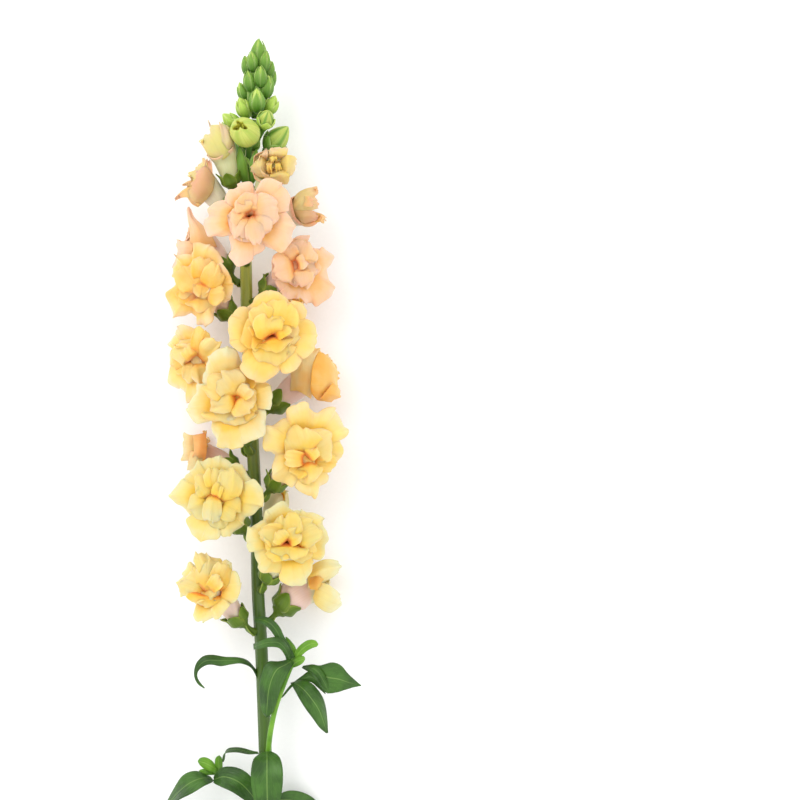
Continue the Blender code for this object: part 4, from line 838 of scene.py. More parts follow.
def panel(sheets, rng, rows, pv0, pv1, about=None, centre=None, ruffle=0.00045, teeth=0.0004, nu=19, nv=19, mat=0):
    """A petal through rows of (grid x, grid y, height in mm), the first at its base. With about and centre, its twin on
    the far side of the flower instead: mirrored in height and drawn in a little."""
    ctl = np.array(rows, float)
    if about is not None:
        ctl[..., 2] = 2 * about - ctl[..., 2]
        ctl[..., :2] = centre + (ctl[..., :2] - centre) * 0.90
    grid = through(np.swapaxes(through(ctl, nv), 0, 1), nu)
    grid = np.swapaxes(grid, 0, 1)
    U, S = np.meshgrid(np.linspace(-1, 1, nu), np.linspace(0, 1, nv))
    pts = spots(grid[..., 0], grid[..., 1], grid[..., 2])
    du, dv = np.gradient(pts, axis=1), np.gradient(pts, axis=0)
    over = np.cross(dv, du)
    over /= np.linalg.norm(over, axis=-1)[..., None] + 1e-12
    dv /= np.linalg.norm(dv, axis=-1)[..., None] + 1e-12
    p = rng.uniform(0, 2 * np.pi, 8)
    d = ruffle * S**1.2 * (0.8 * np.sin(2.6 * U + p[0] + S) + 0.7 * np.sin(5.6 * U + p[1] - S) + 0.35 * S * np.sin(11 * U + p[2]))
    d += ruffle * 0.5 * np.sin(4.6 * S + p[3] + 1.4 * U) * np.minimum(S * 2, 1)
    jag = teeth * S**5 * (np.sin(7.5 * U + p[4]) + 0.7 * np.sin(13 * U + p[5]) + 0.4 * np.sin(21 * U + p[6]))
    pts = pts + over * d[..., None] + dv * jag[..., None]
    pts[..., 2] = press(pts[..., 2])
    sheets.grid(pts, pv0 + (pv1 - pv0) * S, U, rng.uniform(0, 1), mat=mat)


def blade(sheets, rng, left, right, heights, keel, nu=17, nv=50, mat=0, wave=0.0004):
    """A leaf between its two edges (grid x, grid y) with the heights of its midrib in mm; keel lifts or drops the edges."""
    a, b, h = through(left, nv), through(right, nv), through(np.array(heights, float)[:, None], nv)
    U, T = np.meshgrid(np.linspace(-1, 1, nu), np.linspace(0, 1, nv))
    flat = a[:, None] * ((1 - U) / 2)[..., None] + b[:, None] * ((1 + U) / 2)[..., None]
    wide = np.linalg.norm(a - b, axis=1)[:, None] * UNIT * 1000
    p = rng.uniform(0, 2 * np.pi, 3)
    z = h + keel * wide * np.abs(U) ** 1.6 + wave * 1000 * U**2 * np.sin(T * 11 + p[0] + (U > 0) * 2.1) * np.minimum(wide / 7, 1)
    # the midrib is a shallow furrow
    z = z - 0.30 * np.minimum(wide / 7, 1) * np.exp(-((U / 0.09) ** 2))
    pts = spots(flat[..., 0], flat[..., 1], z)
    pts[..., 2] = press(pts[..., 2])
    sheets.grid(pts, T, U, rng.uniform(0, 1), mat=mat)


def skirt(sheets, route, rng, lobes, radius, throat_r=0.0078, nu=200, nv=26, ruffle=0.0017, pv0=0.0, pv1=1.0, recurve=26, sink=0.0035, reflex=0.0, split=0.36):
    """The outer petals: lobes grown together into one wavy skirt, split a little between them."""
    th = np.linspace(0, 2 * np.pi, nu, endpoint=False)
    s, rad, axi, phi = bend_profile(nv, [(0, 4), (0.10, 30), (0.26, 64 + 22 * reflex), (0.45, 80 + 38 * reflex), (0.70, 92 + 42 * reflex), (0.88, 94 + recurve * 0.5 + 36 * reflex), (1, 94 + recurve + 24 * reflex)])
    angles = np.radians([l[0] for l in lobes])
    lengths = np.array([l[1] / 1000 for l in lobes]) * (1 + 0.20 * reflex)
    halves = np.radians([l[2] for l in lobes]) * 1.0
    # each direction takes the lobe that reaches furthest there
    away = np.abs(np.angle(np.exp(1j * (th[:, None] - angles[None]))))
    each = lengths[None] * (1 - split * (away / halves[None]) ** 2.3)
    owner = np.argmax(each, axis=1)
    best = np.sort(each, axis=1)
    reach = best[:, -1]
    reach = np.maximum(reach, lengths.min() * 0.55)
    # soften the joints a little
    for _ in range(2):
        reach = (np.roll(reach, 1) + 2 * reach + np.roll(reach, -1)) / 4
    p = rng.uniform(0, 2 * np.pi, 14)
    reach = reach * (1 + 0.030 * np.sin(6 * th + p[0]) + 0.016 * np.sin(11 * th + p[1]) + 0.012 * np.sin(19 * th + p[2]) + 0.008 * np.sin(33 * th + p[8]))
    TH, S = np.meshgrid(th, s)
    own = np.broadcast_to(owner[None], TH.shape)
    long = (reach - throat_r)[None]
    R, Z = rad[:, None] * long * 1.09, axi[:, None] * long
    PHI = np.broadcast_to(phi[:, None], TH.shape)
    near = np.take_along_axis(np.angle(np.exp(1j * (th[:, None] - angles[None]))), owner[:, None], 1)[:, 0] / halves[owner]
    NEAR = np.broadcast_to(near[None], TH.shape)
    grow = S**1.7
    waves = 0.95 * np.sin(4 * TH + p[3] + 0.5 * S) + 0.80 * np.sin(7 * TH + p[4] - 1.1 * S) + 0.50 * np.sin(11 * TH + p[5] + 1.4 * S) * S + 0.26 * np.sin(19 * TH + p[6]) * S**2 + 0.10 * np.sin(31 * TH + p[7]) * S**3
    d = ruffle * grow * waves
    tilt = rng.uniform(-0.0022, 0.0012, len(lobes))
    d = d + tilt[own] * grow * (1 - NEAR**2)
    # every lobe's one side lies over its neighbour
    d = d + 0.0009 * NEAR * smooth(S, 0.35, 0.9)
    d = d + ruffle * 0.30 * np.sin(S * 6.0 + p[9] + 3 * TH) * S
    swing = ruffle * 0.6 * S**2 * (np.sin(11 * TH + p[10]) + 0.6 * np.sin(19 * TH + p[11])) / np.maximum(throat_r + R, 0.004)
    rr = throat_r + R - np.cos(PHI) * d
    hh = -sink + Z + np.sin(PHI) * d
    x, y = rr * np.cos(TH + swing), rr * np.sin(TH + swing)
    pts = route.throat + route.side * x[..., None] + route.up * y[..., None] + route.facing * hh[..., None]
    pts[..., 2] = press(pts[..., 2])
    sheets.grid(pts, pv0 + (pv1 - pv0) * S, NEAR, 0.5, around=True)


def press(z, low=0.00035):
    """Heights near the table flattened softly onto it, so what would go below rests on it."""
    soft = 0.0035
    t = (z - low) / soft
    return np.where(t > 1.5, z, low + soft * np.log1p(np.exp(np.clip(t * 2.2, -30, 30))) / 2.2)


def tube(sheets, route, size=1.0, throat_r=0.0085, mat=1, calyx=True):
    """The corolla's tube, ribbed where its five lobes join, pouched at the base."""
    n, m = 30, 32
    s = np.linspace(STALK_L + 0.0018, route.length + 0.0003, n)
    f = (s - s[0]) / (s[-1] - s[0])
    base, waist = 0.0030 * min(size, 1.2), 0.0046 * min(size, 1.2)
    r = base + (waist - base) * smooth(f, 0, 0.2) + (0.0058 * size - waist) * smooth(f, 0.2, 0.55) + (throat_r - 0.0058 * size) * smooth(f, 0.42, 1.02) ** 1.5
    a = np.linspace(0, 2 * np.pi, m, endpoint=False)
    A, F = np.meshgrid(a, f)
    R = r[:, None] * (1 + 0.05 * np.cos(5 * A + 0.4) * smooth(F, 0.1, 0.9) + 0.025 * np.cos(10 * A) * F)
    S = np.broadcast_to(s[:, None], A.shape)
    pts = route.ring(S, A, R)
    pts[..., 2] = press(pts[..., 2])
    sheets.grid(pts, F, np.sin(A * 2.5), 0.5, mat=mat, around=True)


def flower(n, entry, mats):
    x, y, z, facing, radius, y_stem, lobes, palette, seed = entry
    rng = np.random.RandomState(seed)
    route = Route(entry)
    sheets = Sheets()
    wide, throat_r = TUBES.get(n, (1.0, 0.0080))
    tube(sheets, route, size=wide, throat_r=throat_r)
    R = radius / 1000
    back = n >= 15
    place = lambda X, Y, H: route.throat + (route.side * X[..., None] - route.up * Y[..., None]) * UNIT + route.facing * H[..., None] / 1000
    turn = rng.uniform(0, 2 * np.pi)
    if n in SIDE:
        # a short collar round the throat, the lobes turned to the front and their twins behind
        collar = [(angle, 9.6 + 0.6 * (angle % 5) if n != 14 else 7.6 + 0.2 * (angle % 5), half) for angle, _, half in lobes]
        skirt(sheets, route, rng, collar, R, throat_r=throat_r - 0.0006, nu=110, nv=12, ruffle=0.0009, pv0=0.1, pv1=0.6)
        for rows, low, high in SIDE[n]:
            panel(sheets, rng, rows, low, high)
            panel(sheets, rng, rows, low, high, about=z, centre=(x, y), nu=15, nv=15)
        deep = {2: 0.55, 8: 0.80, 10: 0.42, 14: 0.62}[n]
        narrow = 1.0 if n == 8 else 0.66
        rings = (
            (5, 0.42 * (0.5 + 0.5 * deep) * (0.4 + 0.6 * narrow), -2, 7.5 * deep, 9.0 * deep, 15 * narrow),
            (5, 0.28 * (0.4 + 0.6 * narrow), -1, 10.0 * deep, 11.5 * deep, 12 * narrow), (3, 0.12, 0, 11.0 * deep, 12.5 * deep, 9 * narrow),
        )
    else:
        outer = [(angle, long * {15: 0.84, 16: 0.84, 17: 0.50}.get(n, 1.0), half) for angle, long, half in lobes]
        skirt(sheets, route, rng, outer, R, throat_r=throat_r - 0.0002, nu=120 if back else 200, nv=16 if back else 26, ruffle=0.0010 if back else 0.0017, split=0.48 if n == 1 else 0.36)
        rings = ((5, 0.42, -3, 5.5, 5.5, 14), (3, 0.24, -1, 7.5, 7.5, 11)) if n != 17 else ((5, 0.13, -4, -1.0, -0.5, 6),)
    if n in TUFTS:
        slope = -facing[0] / facing[2], -facing[1] / facing[2]
        over = lambda X, Y, H: spots(X, Y, z + (X - x) * 0.5 * slope[0] - (Y - y) * 0.5 * slope[1] + H)
        for row in TUFTS[n]:
            drape(sheets, over, np.array((0.0, 0.0, 1.0)), rng, *row[:5], *row[5:], ruffle=0.0008 if n in (1, 4) else 0.0012)
        # low petals that close the throat round the foot of the tuft
        rings = ((6, 0.44, -4, 2.2, 0.8, 15),)
    for ring, (count, far, low, high, end, half) in enumerate(rings):
        for i in range(count):
            way = turn + 2 * np.pi / count * i + ring * 0.7 + rng.uniform(-0.4, 0.4) * (0.4 if n in TUFTS else 1)
            reach = radius / 0.5 * far * rng.uniform(0.88, 1.12)
            spin = np.array((math.cos(way), math.sin(way)))
            bend = spin * reach * 0.55 + np.array((-spin[1], spin[0])) * rng.uniform(-3, 3)
            drape(
                sheets, place, route.facing, rng, (spin[0] * 2, spin[1] * 2, low), (*bend, high * rng.uniform(0.85, 1.15)), (*(spin * reach), end * rng.uniform(0.8, 1.2)),
                half * rng.uniform(0.85, 1.15), rng.uniform(-0.7, 0.7), rng.uniform(-14, 14), 0.45 if n in SIDE else 0.12, rng.uniform(0.75, 0.95), nu=15, nv=13, ruffle=0.0006,
            )
    return sheets.make(f"flower_{n:02d}_petals", mats[palette], thick=0.00032, node=f"flower_{n:02d}_corolla")


def calyx_on(sheets, route, rng, size=1.0, bract=True):
    """Stalk, the swollen receptacle, five sepals pressed to the tube and a small bract below."""
    n, m = 14, 14
    s = np.linspace(-0.0014, STALK_L + 0.0036, n)
    r = np.interp(s, [-0.0014, 0.0, 0.0015, STALK_L - 0.0015, STALK_L, STALK_L + 0.0016, STALK_L + 0.0036], [0.0021, 0.0017, 0.0012, 0.00115, 0.0016, 0.0034 * size, 0.0026 * size])
    A, S = np.meshgrid(np.linspace(0, 2 * np.pi, m, endpoint=False), s)
    pts = route.ring(S, A, np.broadcast_to(r[:, None], A.shape))
    sheets.grid(pts, np.broadcast_to(np.linspace(0, 0.3, n)[:, None], A.shape), 0.0, 0.4, mat=0, around=True)
    for k in range(5):
        nv, nu = 16, 9
        v, u = np.linspace(0, 1, nv), np.linspace(-1, 1, nu)
        U, V = np.meshgrid(u, v)
        long = CALYX_L * size * rng.uniform(0.92, 1.12)
        half = np.radians(47) * np.clip(np.sin(np.pi * (0.30 + 0.70 * V)), 0, 1) ** 0.75
        tube_r = 0.0024 + (0.0052 * size - 0.0024) * smooth(V, 0, 0.35) + 0.0007 * smooth(V, 0.5, 1)
        flare = 0.0014 * rng.uniform(0.2, 1.3) * smooth(V, 0.72, 1.0)
        rr = tube_r + flare + 0.0003 * (1 - U**2) + 0.00012 * k % 0.0003
        ss = STALK_L + 0.0008 + long * V
        pts = route.ring(ss, np.radians(72 * k + 12) + U * half, rr)
        sheets.grid(pts, V, U, rng.uniform(0, 1), mat=0)
    if bract:
        leaf_sheet(sheets, bract_line(route, rng), 0.0021, route.out, 0.16, rng, nu=7, nv=14, wave=0.0)


def bract_line(route, rng):
    """A narrow bract below the stalk, arching out and up along it."""
    up = unit(stem_way(route.first))
    side = unit(np.cross(up, route.out)) * rng.uniform(-0.5, 0.5)
    foot = route.first - up * 0.0022 - route.out * 0.0008
    long = rng.uniform(0.008, 0.011)
    t = np.linspace(0, 1, 15)[:, None]
    return foot + (route.out * 0.75 + up * 0.30 + side * 0.3) * long * t + (up * 0.45 - route.out * 0.15) * long * t**2


def stem_way(point):
    y = 400 - (point[1] - SHIFT[1]) / UNIT
    return stem_at(y)[1]


def leaf_sheet(sheets, line, width, look, keel, rng, nu=11, nv=30, wave=0.0006, mat=0, stalk=0.0009, curl=0.0):
    """Blade along a line of points; width is the greatest half width."""
    line = np.asarray(line)
    t0 = np.linspace(0, 1, len(line))
    t = np.linspace(0, 1, nv)
    pts = np.stack([np.interp(t, t0, line[:, k]) for k in range(3)], axis=-1)
    for _ in range(2):
        pts[1:-1] = (pts[:-2] + 2 * pts[1:-1] + pts[2:]) / 4
    way = np.gradient(pts, axis=0)
    way /= np.linalg.norm(way, axis=1)[:, None]
    look = unit(look)
    across = np.cross(way, look)
    across /= np.linalg.norm(across, axis=1)[:, None]
    top = np.cross(across, way)
    shape = np.maximum(np.sin(np.pi * np.clip(t * 0.955 + 0.045, 0, 1) ** 0.85) ** 0.95, 0)
    w = np.maximum(width * shape, stalk * np.clip((1 - t) * 30, 0, 1))
    U, T = np.meshgrid(np.linspace(-1, 1, nu), t)
    W = w[:, None]
    p = rng.uniform(0, 2 * np.pi, 3)
    lift = keel * W * np.abs(U) ** 1.4 + wave * np.abs(U) ** 2 * np.sin(T * 13 + p[0] + (U > 0) * 1.9) * smooth(T, 0.05, 0.3)
    lift += 0.00025 * np.exp(-((U / 0.10) ** 2)) * (1 - T) - curl * W * np.abs(U) ** 3
    grid = pts[:, None] + across[:, None] * (W * U)[..., None] + top[:, None] * lift[..., None]
    sheets.grid(grid, T, U, rng.uniform(0, 1), mat=mat)


def calyx(n, entry, mats, opening=False):
    rng = np.random.RandomState(100 + n)
    sheets = Sheets()
    calyx_on(sheets, Route(entry), rng, size=min(TUBES.get(n, (1.0,))[0], 1.25))
    return sheets.make(f"flower_{n:02d}_stalk_and_sepals", mats, thick=0.00045, node=f"flower_{n:02d}_calyx")


def opening_flower(n, entry, petals, greens):
    """Half-open flower: pale tube, upright ruffled rim with the extra petals packed inside."""
    x, y, z, facing, radius, y_stem, palette, seed = entry
    rng = np.random.RandomState(seed)
    route = Route(entry)
    sheets = Sheets()
    R = radius / 1000
    tube(sheets, route, size=0.92, throat_r=R * (0.74 if n != 4 else 0.9))
    for rows, low, high in CUPS[n]:
        panel(sheets, rng, rows, low, high, ruffle=0.0009 if n == 4 and high < 0.5 else 0.0004, teeth=0.0014 if n == 4 and high < 0.5 else 0.0009)
        if n != 4:
            panel(sheets, rng, rows, low, high, about=z, centre=(x, y), ruffle=0.0004, teeth=0.0004, nu=15, nv=15)
    # the side lobes and the extra petals packed inside
    for i in range(5):
        petal(
            sheets, route, rng, 72 * i + rng.uniform(-6, 6), 42, 0.0070 if n == 4 else 0.0054, R * (0.46 if n != 4 else 0.62), 0.0, [(0, 10), (0.4, 4), (1, -10)],
            ruffle=0.0005, cup=0.02, nu=19, nv=11, pv0=0.35, pv1=0.8, notch=0.12, tight=1.0,
        )
    for i in range(4):
        petal(
            sheets, route, rng, 90 * i + rng.uniform(-9, 9), 44, 0.0066 if n == 4 else 0.0050, R * 0.28, 0.0, [(0, 4), (0.5, -4), (1, rng.uniform(-20, 10))],
            ruffle=0.0006, cup=0.1, nu=17, nv=11, pv0=0.05, pv1=0.4, notch=0.12, tight=1.0,
        )
    count = len(sheets.faces)
    calyx_on(sheets, route, rng, size=0.92)
    for k in range(count, len(sheets.mats)):
        sheets.mats[k][:] = 2
    return sheets.make(f"opening_flower_{n}_petals", petals + greens[:1], thick=0.00035, node=f"opening_flower_{n}")


# ------------------------------------------------------------------ buds
def egg(sheets, base, way, long, wide, h0=0.0, h1=1.0, grow=0.0, ribs=0.0, mat=0, m=20, n=16, turn=0.0, pr=0.5, closed=True, tip=1.0):
    side, up = square(way, (0, 0, 1))
    h = np.linspace(h0, h1, n)
    r = egg_r(h) * wide / 2 + grow
    A, H = np.meshgrid(np.linspace(0, 2 * np.pi, m, endpoint=False), h)
    Rr = r[:, None] * (1 - ribs * (0.5 + 0.5 * np.cos(5 * (A - turn))) ** 3 * smooth(H, 0.05, 0.4))
    pts = base + way * (long * H)[..., None] + (side * np.cos(A)[..., None] + up * np.sin(A)[..., None]) * Rr[..., None]
    pts[..., 2] = np.maximum(pts[..., 2], 0.0004)
    sheets.grid(pts, H, np.sin(2.5 * (A - turn)), pr, mat=mat, around=True)


def egg_r(h):
    h = np.clip(h, 0, 1)
    return np.maximum(np.sin(np.pi * h**0.86) ** 0.72, 0.0) * (1 - 0.10 * h)


def scale(sheets, base, way, long, wide, angle, reach, rng, mat=0, half=46, lift=0.0004, open_tip=0.0):
    """A sepal pressed to an egg-shaped bud, from its base to reach, ending in a point."""
    side, up = square(way, (0, 0, 1))
    nv, nu = 13, 7
    V, U = np.meshgrid(np.linspace(0, 1, nv), np.linspace(-1, 1, nu), indexing="ij")
    H = 0.02 + (reach - 0.02) * V
    r = egg_r(H) * wide / 2 + lift * (0.35 + 0.65 * (1 - U**2)) + open_tip * V**3
    half_a = np.radians(half) * np.clip(np.sin(np.pi * (0.32 + 0.68 * V)), 0, 1) ** 0.8 + 0.02
    A = math.radians(angle) + U * half_a
    pts = base + way * (long * H)[..., None] + (side * np.cos(A)[..., None] + up * np.sin(A)[..., None]) * r[..., None]
    pts[..., 2] = np.maximum(pts[..., 2], 0.0004)
    sheets.grid(pts, V, U, rng.uniform(0, 1), mat=mat)


def green_bud(sheets, middle, way, long, wide, rng, cover=0.92, mat_in=1, mat_out=0, fine=False, loose=0.0006):
    way = unit(way)
    base = middle - way * long / 2
    egg(sheets, base, way, long * 0.985, wide * 0.93, 0.02, 1.0, ribs=0.10, mat=mat_in, turn=rng.uniform(0, 6), m=20 if fine else 14, n=18 if fine else 12)
    turn = rng.uniform(0, 72)
    for k in range(5):
        scale(sheets, base, way, long, wide * 0.95, turn + 72 * k, cover * rng.uniform(0.92, 1.04), rng, mat=mat_out, lift=0.00025 + 0.0001 * (k % 3), open_tip=rng.uniform(0, loose))


def bud_stalk(sheets, foot, base, way, on_axis, mat=0):
    bend = base - way * min(0.003, np.linalg.norm(base - foot) * 0.3)
    inside = foot + unit(on_axis - foot) * 0.0016
    t = np.linspace(0, 1, 14)[:, None]
    line = inside * (1 - t) ** 2 + (bend * 0.75 + foot * 0.25) * 2 * t * (1 - t) + (base + way * 0.0008) * t**2
    d = np.gradient(line, axis=0)
    d /= np.linalg.norm(d, axis=1)[:, None]
    A = np.linspace(0, 2 * np.pi, 12, endpoint=False)
    rows = []
    s = square(d[0], (0.3, 0.2, 0.9))[0]
    for i in range(len(line)):
        s = unit(s - d[i] * (s @ d[i]))
        b = np.cross(d[i], s)
        r = 0.0014 + 0.0006 * max(0, 1 - i / 3) + 0.0008 * max(0, (i - 10) / 3)
        rows.append(line[i] + (s[None] * np.cos(A)[:, None] + b[None] * np.sin(A)[:, None]) * r)
    sheets.grid(np.array(rows), np.broadcast_to(np.linspace(0, 0.3, 14)[:, None], (14, 12)), 0.0, 0.5, mat=mat, around=True)


def mouth_bud(sheets, base, way, long, wide, rng, mat, inner):
    """The bud about to open: a closed body of folded lobes with a small star-shaped mouth off its top."""
    side, up = square(way, (0, 1, 0))
    m, n = 70, 40
    a = np.linspace(0, 2 * np.pi, m, endpoint=False)
    # the mouth: wide towards the side, three deep points and two shallow ones
    gape = 0.0026 * (1 + 0.30 * np.cos(3 * a + 0.9) + 0.22 * np.cos(5 * a + 2.0) + 0.20 * np.cos(2 * a - 0.5))
    end = np.arcsin(np.clip(gape / (wide / 2), 0, 0.8))
    S = np.linspace(0, 1, n)[:, None]
    theta = np.pi * 0.97 - S * (np.pi * 0.97 - end[None])
    A = np.broadcast_to(a[None], theta.shape)
    folds = 1 - 0.035 * (0.5 + 0.5 * np.cos(5 * (A + 0.5 * S) + 0.6)) ** 6 * smooth(S, 0.25, 0.8)
    r = wide / 2 * np.sin(theta) * folds
    z = long * (0.5 + 0.5 * np.cos(theta) * (1 - 0.10 * smooth(S, 0.75, 1.0)))
    off = smooth(S, 0.45, 1.0)
    x, y = r * np.cos(A) - 0.0021 * off, r * np.sin(A) + 0.0013 * off
    # the rim rolls up a little before it turns inwards
    z = z + 0.0006 * np.exp(-(((S - 0.95) / 0.05) ** 2))
    pts = base + side * x[..., None] + up * y[..., None] + way * z[..., None]
    sheets.grid(pts, 0.15 + 0.8 * S, np.sin(2.5 * A), 0.5, mat=mat, around=True)
    rim = pts[-1]
    middle = rim.mean(axis=0)
    rows = [middle + (rim - middle) * f - way * d for f, d in ((1.0, 0.0), (0.97, 0.0006), (0.90, 0.0016), (0.72, 0.0030), (0.45, 0.0040), (0.05, 0.0044))]
    sheets.grid(np.array(rows), np.linspace(1, 0, 6)[:, None], 0.3, 0.4, mat=inner, around=True)
    # petals packed inside
    for k in range(3):
        w = 2 * np.pi / 3 * k + 0.4
        V, U = np.meshgrid(np.linspace(0, 1, 9), np.linspace(-1, 1, 9), indexing="ij")
        out = 0.0004 + 0.0013 * V
        x, y = out * np.cos(w) - 0.0011 * U * np.sin(w), out * np.sin(w) + 0.0011 * U * np.cos(w)
        h = -0.0040 + 0.0032 * V - 0.0006 * U**2
        pts = middle + side * x[..., None] + up * y[..., None] + way * h[..., None]
        sheets.grid(pts, 0.4 + 0.6 * V, U, 0.6, mat=inner)


class Foot:
    """Where a bract leaves the stem."""


def add_buds(mats):
    for n, (x, y, z, way, long, wide, y_stem) in BUDS.items():
        rng = np.random.RandomState(50 + n)
        middle, way = spot(x, y, z), unit(way)
        long, wide = long / 1000, wide / 1000
        base = middle - way * long / 2
        on_axis, up, r = stem_at(y_stem)
        out = middle - on_axis
        out = unit(out - up * (out @ up))
        foot = on_axis + out * (r + 0.0003 + 0.0012)
        sheets = Sheets()
        bud_stalk(sheets, foot, base, way, on_axis)
        root = Foot()
        root.first, root.out = foot, out
        for _ in range(2):
            leaf_sheet(sheets, bract_line(root, rng), 0.0021, out, 0.2, rng, nu=9, nv=18, wave=0.0)
        if n == 1:
            mouth_bud(sheets, base, way, long, wide, rng, 2, 3)
            for k in range(5):
                scale(sheets, base, way, long, wide * 0.98, 72 * k + 20, 0.52, rng, mat=0, lift=0.0004, half=44)
            # the broad bracts that stand against the stem below it
            blade(sheets, rng, [(247, 190), (240, 178), (236, 163), (239, 146)], [(249, 190), (249, 178), (247, 163), (240, 146)], [26.5, 32, 35, 34], -0.2, nu=9, nv=20, wave=0.0002)
            blade(sheets, rng, [(248, 188), (248, 176), (249, 163), (256, 149)], [(250, 188), (257, 178), (261, 166), (257, 149)], [26.5, 31, 34, 33], -0.2, nu=9, nv=20, wave=0.0002)
        else:
            egg(sheets, base, way, long * 0.99, wide * 0.94, 0.02, 1.0, ribs=0.20, mat=4 if n in (2, 3) else 1, turn=0.5 * n, m=50, n=28)
            turn = 20 * n
            for k in range(5):
                scale(sheets, base, way, long, wide * 0.97, turn + 72 * k, {2: 0.62, 3: 0.48}.get(n, 0.80) * rng.uniform(0.93, 1.07), rng, mat=1 if n in (2, 4) else 0, lift=0.0004, half=46, open_tip=0.0005)
        sheets.make(f"bud_{n}_scales", mats, thick=0.0003, node=f"bud_{n}")
    rng = np.random.RandomState(77)
    sheets = Sheets()
    top, up, _ = stem_at(STEM[0][1])
    crown = spot(*TIP[0][:3])
    foot = top + up * 0.0006
    egg(sheets, foot - up * 0.002, unit(crown - foot), np.linalg.norm(crown - foot) + 0.002, 0.0105, 0.02, 1.0, mat=0)
    egg(sheets, spot(257.0, 105.5, 25.0) - unit((0.05, 1, 0)) * 0.0065, unit((0.05, 1, 0)), 0.013, 0.012, 0.02, 1.0, mat=0)
    for x, y, z, way, long, wide in TIP:
        green_bud(sheets, spot(x, y, z), way, long / 1000, wide / 1000, rng, cover=1.0 if y < 90 else 0.86, mat_out=1 if y > 100 and abs(x - 257) > 8 and z > 20 else 0)
    sheets.make("bud_tip_scales", mats, thick=0.00028, node="bud_tip")


# ------------------------------------------------------------------ leaves, shoots and stem
def leaf_line(points, n=40):
    return np.array([spot(*catmull(points, i / (n - 1))) for i in range(n)])


def add_leaves(mats, fresh):
    for i, (name, (points, width, look, keel)) in enumerate(LEAVES.items()):
        rng = np.random.RandomState(200 + i)
        sheets = Sheets()
        if name in BLADES:
            for left, right, heights, bend in BLADES[name]:
                blade(sheets, rng, left, right, heights, bend)
        else:
            leaf_sheet(sheets, leaf_line(points), width / 2000, look, keel, rng, nu=17, nv=46, wave=0.0005 if width > 8 else 0.0002)
            sheets.points[-1][:, 2] = np.maximum(sheets.points[-1][:, 2], 0.0003)
        sheets.make(f"{name}_blade", mats, thick=0.00042, node=name)
    for i, (name, (stalk, leaflets)) in enumerate(SHOOTS.items()):
        rng = np.random.RandomState(300 + i)
        sheets = Sheets()
        line = leaf_line(stalk, 40)
        way = np.gradient(line, axis=0)
        way /= np.linalg.norm(way, axis=1)[:, None]
        A = np.linspace(0, 2 * np.pi, 14, endpoint=False)
        rows = []
        s = square(way[0], (0, 0, 1))[0]
        for k in range(len(line)):
            s = unit(s - way[k] * (s @ way[k]))
            b = np.cross(way[k], s)
            r = 0.00125 * (1 - 0.25 * k / 40)
            rows.append(line[k] + (s[None] * np.cos(A)[:, None] + b[None] * np.sin(A)[:, None]) * r)
        sheets.grid(np.array(rows), np.broadcast_to(np.linspace(0, 1, 40)[:, None], (40, 14)), 0.5, 0.5, mat=0, around=True)
        inside = catmull(stalk, 0.93)
        for left, right, heights, bend in LEAFLETS.get(name, ()):
            blade(sheets, rng, left, right, heights, bend, nu=13, nv=26, wave=0.0002)
        for points, width in () if name in LEAFLETS else leaflets:
            leaf_sheet(sheets, leaf_line([inside] + points[1:], 24), width / 2000, (0, 0.3, 1), 0.15, rng, nu=9, nv=22, wave=0.0002)
        sheets.make(f"{name}_leaflets", fresh, thick=0.0004, node=name)


def add_stem(mats):
    sheets = Sheets()
    rings, sides = 420, 30
    scars = []
    for i, y in enumerate((885, 912, 946, 972, 1004, 1030, 1061, 1092, 1118)):
        scars.append((y, i * 2.4 + 0.7))
    rows, pv = [], []
    a = np.linspace(0, 2 * np.pi, sides, endpoint=False)
    last_y = STEM[-1][1]
    for i in range(rings):
        t = i / (rings - 1)
        x, y, z, r = catmull(STEM, t)
        p = spot(x, y, z)
        x2, y2, z2, _ = catmull(STEM, max(t - 0.004, 0) if i == rings - 1 else min(t + 0.004, 1))
        way = unit(spot(x2, y2, z2) - p) * (-1 if i == rings - 1 else 1)
        side, up = square(way, (0, 0, 1))
        rr = r / 1000 * (1 + 0.030 * np.cos(5 * a + y * 0.004) + 0.010 * np.cos(11 * a + y * 0.02))
        for ys, at in scars:
            d = np.exp(-(((y - ys) / 5.0) ** 2)) * np.exp(-((np.angle(np.exp(1j * (a - at))) / 0.55) ** 2))
            rr = rr + 0.0007 * d
        ring = p + (side[None] * np.cos(a)[:, None] + up[None] * np.sin(a)[:, None]) * rr[:, None]
        rows.append(ring)
        pv.append(t)
    rows = np.array(rows)
    # the slanting cut
    end, way, _ = stem_at(1181)
    edge = end[1] + 0.0005 + (rows[-1][:, 0] - end[0]) * math.tan(math.radians(-38)) * -1
    for k in range(1, 12):
        rows[-k][:, 1] = np.maximum(rows[-k][:, 1], edge)
    rows[..., 2] = np.maximum(rows[..., 2], 0.0)
    V = np.broadcast_to(np.array(pv)[:, None], rows.shape[:2])
    sheets.grid(rows, V, np.broadcast_to(np.sin(a)[None], rows.shape[:2]), 0.2, around=True, flip=False)
    # end faces
    for ring, sign, pr in ((rows[-1], 1, 0.9), (rows[0], -1, 0.2)):
        middle = ring.mean(axis=0)
        shells = np.array([middle + (ring - middle) * f for f in (1.0, 0.97, 0.85, 0.7, 0.5, 0.25, 0.02)])
        f = np.array((1.0, 0.97, 0.85, 0.7, 0.5, 0.25, 0.0))
        if pr > 0.5:
            shells[1:, :, 1] += 0.00015 * np.sin(np.linspace(0, 3, 6))[:, None]
        sheets.grid(shells, np.broadcast_to(f[:, None], shells.shape[:2]), 0.0, pr, around=True, flip=sign < 0)
    return sheets.make("main_stem_skin", mats, node="main_stem")


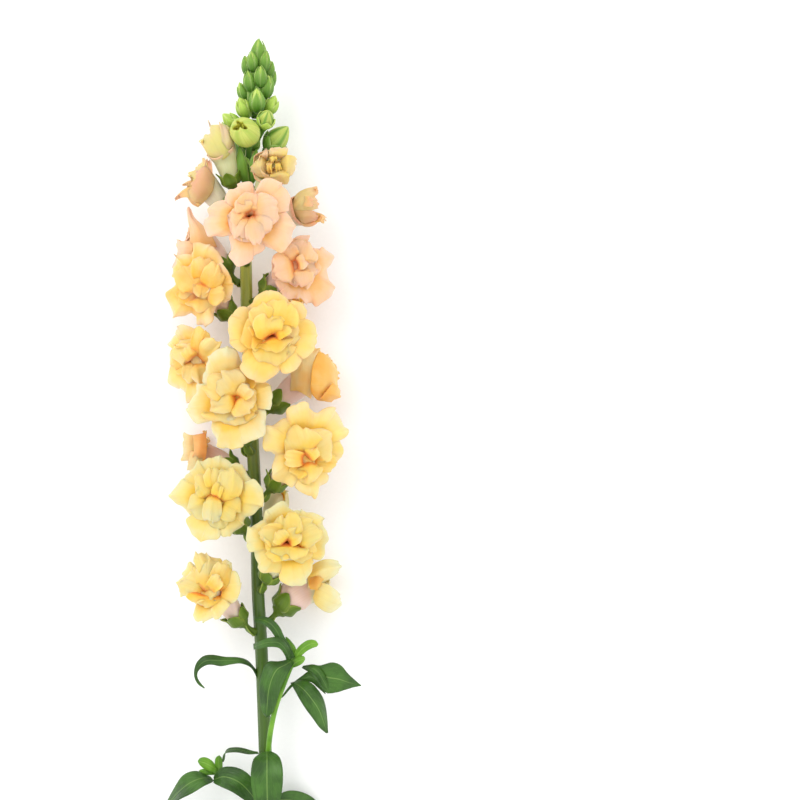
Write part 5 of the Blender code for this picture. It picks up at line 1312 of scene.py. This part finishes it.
# ------------------------------------------------------------------ scene
def main():
    petals = {}
    for name in PALETTES:
        petals[name] = [petal_material(f"petal_{name}", name), tube_material(f"tube_{name}", name)]
    sepal = green_material("sepal_green", "#56701A", "#607E18", "#9CAE48", glow=0.05)
    young = leaf_material("leaf_young", "#548A1E", "#7AAE34", "#A8CC60")
    bud_out = green_material("bud_scale_green", "#44721C", "#7CA83E", "#BAD682")
    bud_in = green_material("bud_heart_green", "#7EAA36", "#B6D65C", "#D2E48C")
    bud_lime = green_material("bud_lime", "#9AB648", "#C8D66A", "#AAC454", glow=0.2, vein=0.5)
    bud_striped = green_material("bud_striped", "#7FA83E", "#C6D66A", "#5C9234", glow=0.15, vein=0.5)
    mouth = green_material("bud_mouth", "#8C8420", "#C9C848", "#D8DC7C", glow=0.1)
    leaf = leaf_material("leaf_blade", "#2D5118", "#467226", "#84A656")
    stem = stem_material("stem_skin")

    add_stem([stem])
    for n, entry in FLOWERS.items():
        flower(n, entry, petals)
        calyx(n, entry, [sepal])
    for n, entry in OPENING.items():
        opening_flower(n, entry, petals[entry[6]], [sepal])
    add_buds([bud_out, bud_in, bud_lime, mouth, bud_striped])
    add_leaves([leaf], [young])


def stage():
    mesh = bpy.data.meshes.new("table")
    size = 4.0
    mesh.from_pydata([(-size, -size, 0), (size, -size, 0), (size, size, 0), (-size, size, 0)], [], [(0, 1, 2, 3)])
    floor = bpy.data.objects.new("table", mesh)
    bpy.context.scene.collection.objects.link(floor)
    m, tree, bsdf = start("table_white", 0.8, 0.2)
    paper = ramp(tree, noise(tree, 600.0, 3.0), [(0.3, (0.965, 0.97, 0.975, 1)), (0.7, (0.98, 0.985, 0.99, 1))])
    tree.links.new(paper, bsdf.inputs["Base Color"])
    floor.data.materials.append(m)

    world = bpy.data.worlds.new("studio")
    world.use_nodes = True
    world.node_tree.nodes["Background"].inputs[0].default_value = (1.0, 0.995, 0.985, 1)
    world.node_tree.nodes["Background"].inputs[1].default_value = 1.26
    bpy.context.scene.world = world

    def area(name, at, target, size, power, colour=(1, 1, 1)):
        light = bpy.data.lights.new(name, "AREA")
        light.shape = "SQUARE"
        light.size = size
        light.energy = power
        light.color = colour
        o = bpy.data.objects.new(name, light)
        o.location = at
        o.rotation_euler = (Vector(target) - Vector(at)).to_track_quat("-Z", "Y").to_euler()
        bpy.context.scene.collection.objects.link(o)

    area("key", (-0.9, 0.9, 1.5), (0, 0.1, 0), 0.9, 9.6)
    area("fill", (1.1, -0.5, 1.4), (0, 0, 0), 1.4, 3.0)

    cam = bpy.data.cameras.new("camera")
    cam.lens = 36.0 * EYE / (800 * UNIT)
    cam.sensor_width = 36.0
    eye = bpy.data.objects.new("camera", cam)
    eye.location = (SHIFT[0], SHIFT[1], AXIS_Z + EYE)
    eye.rotation_euler = (0, 0, 0)
    bpy.context.scene.collection.objects.link(eye)
    bpy.context.scene.camera = eye
    bpy.context.scene.view_settings.view_transform = "Standard"
    bpy.context.scene.view_settings.look = "None"


main()
stage()
bpy.context.view_layer.update()
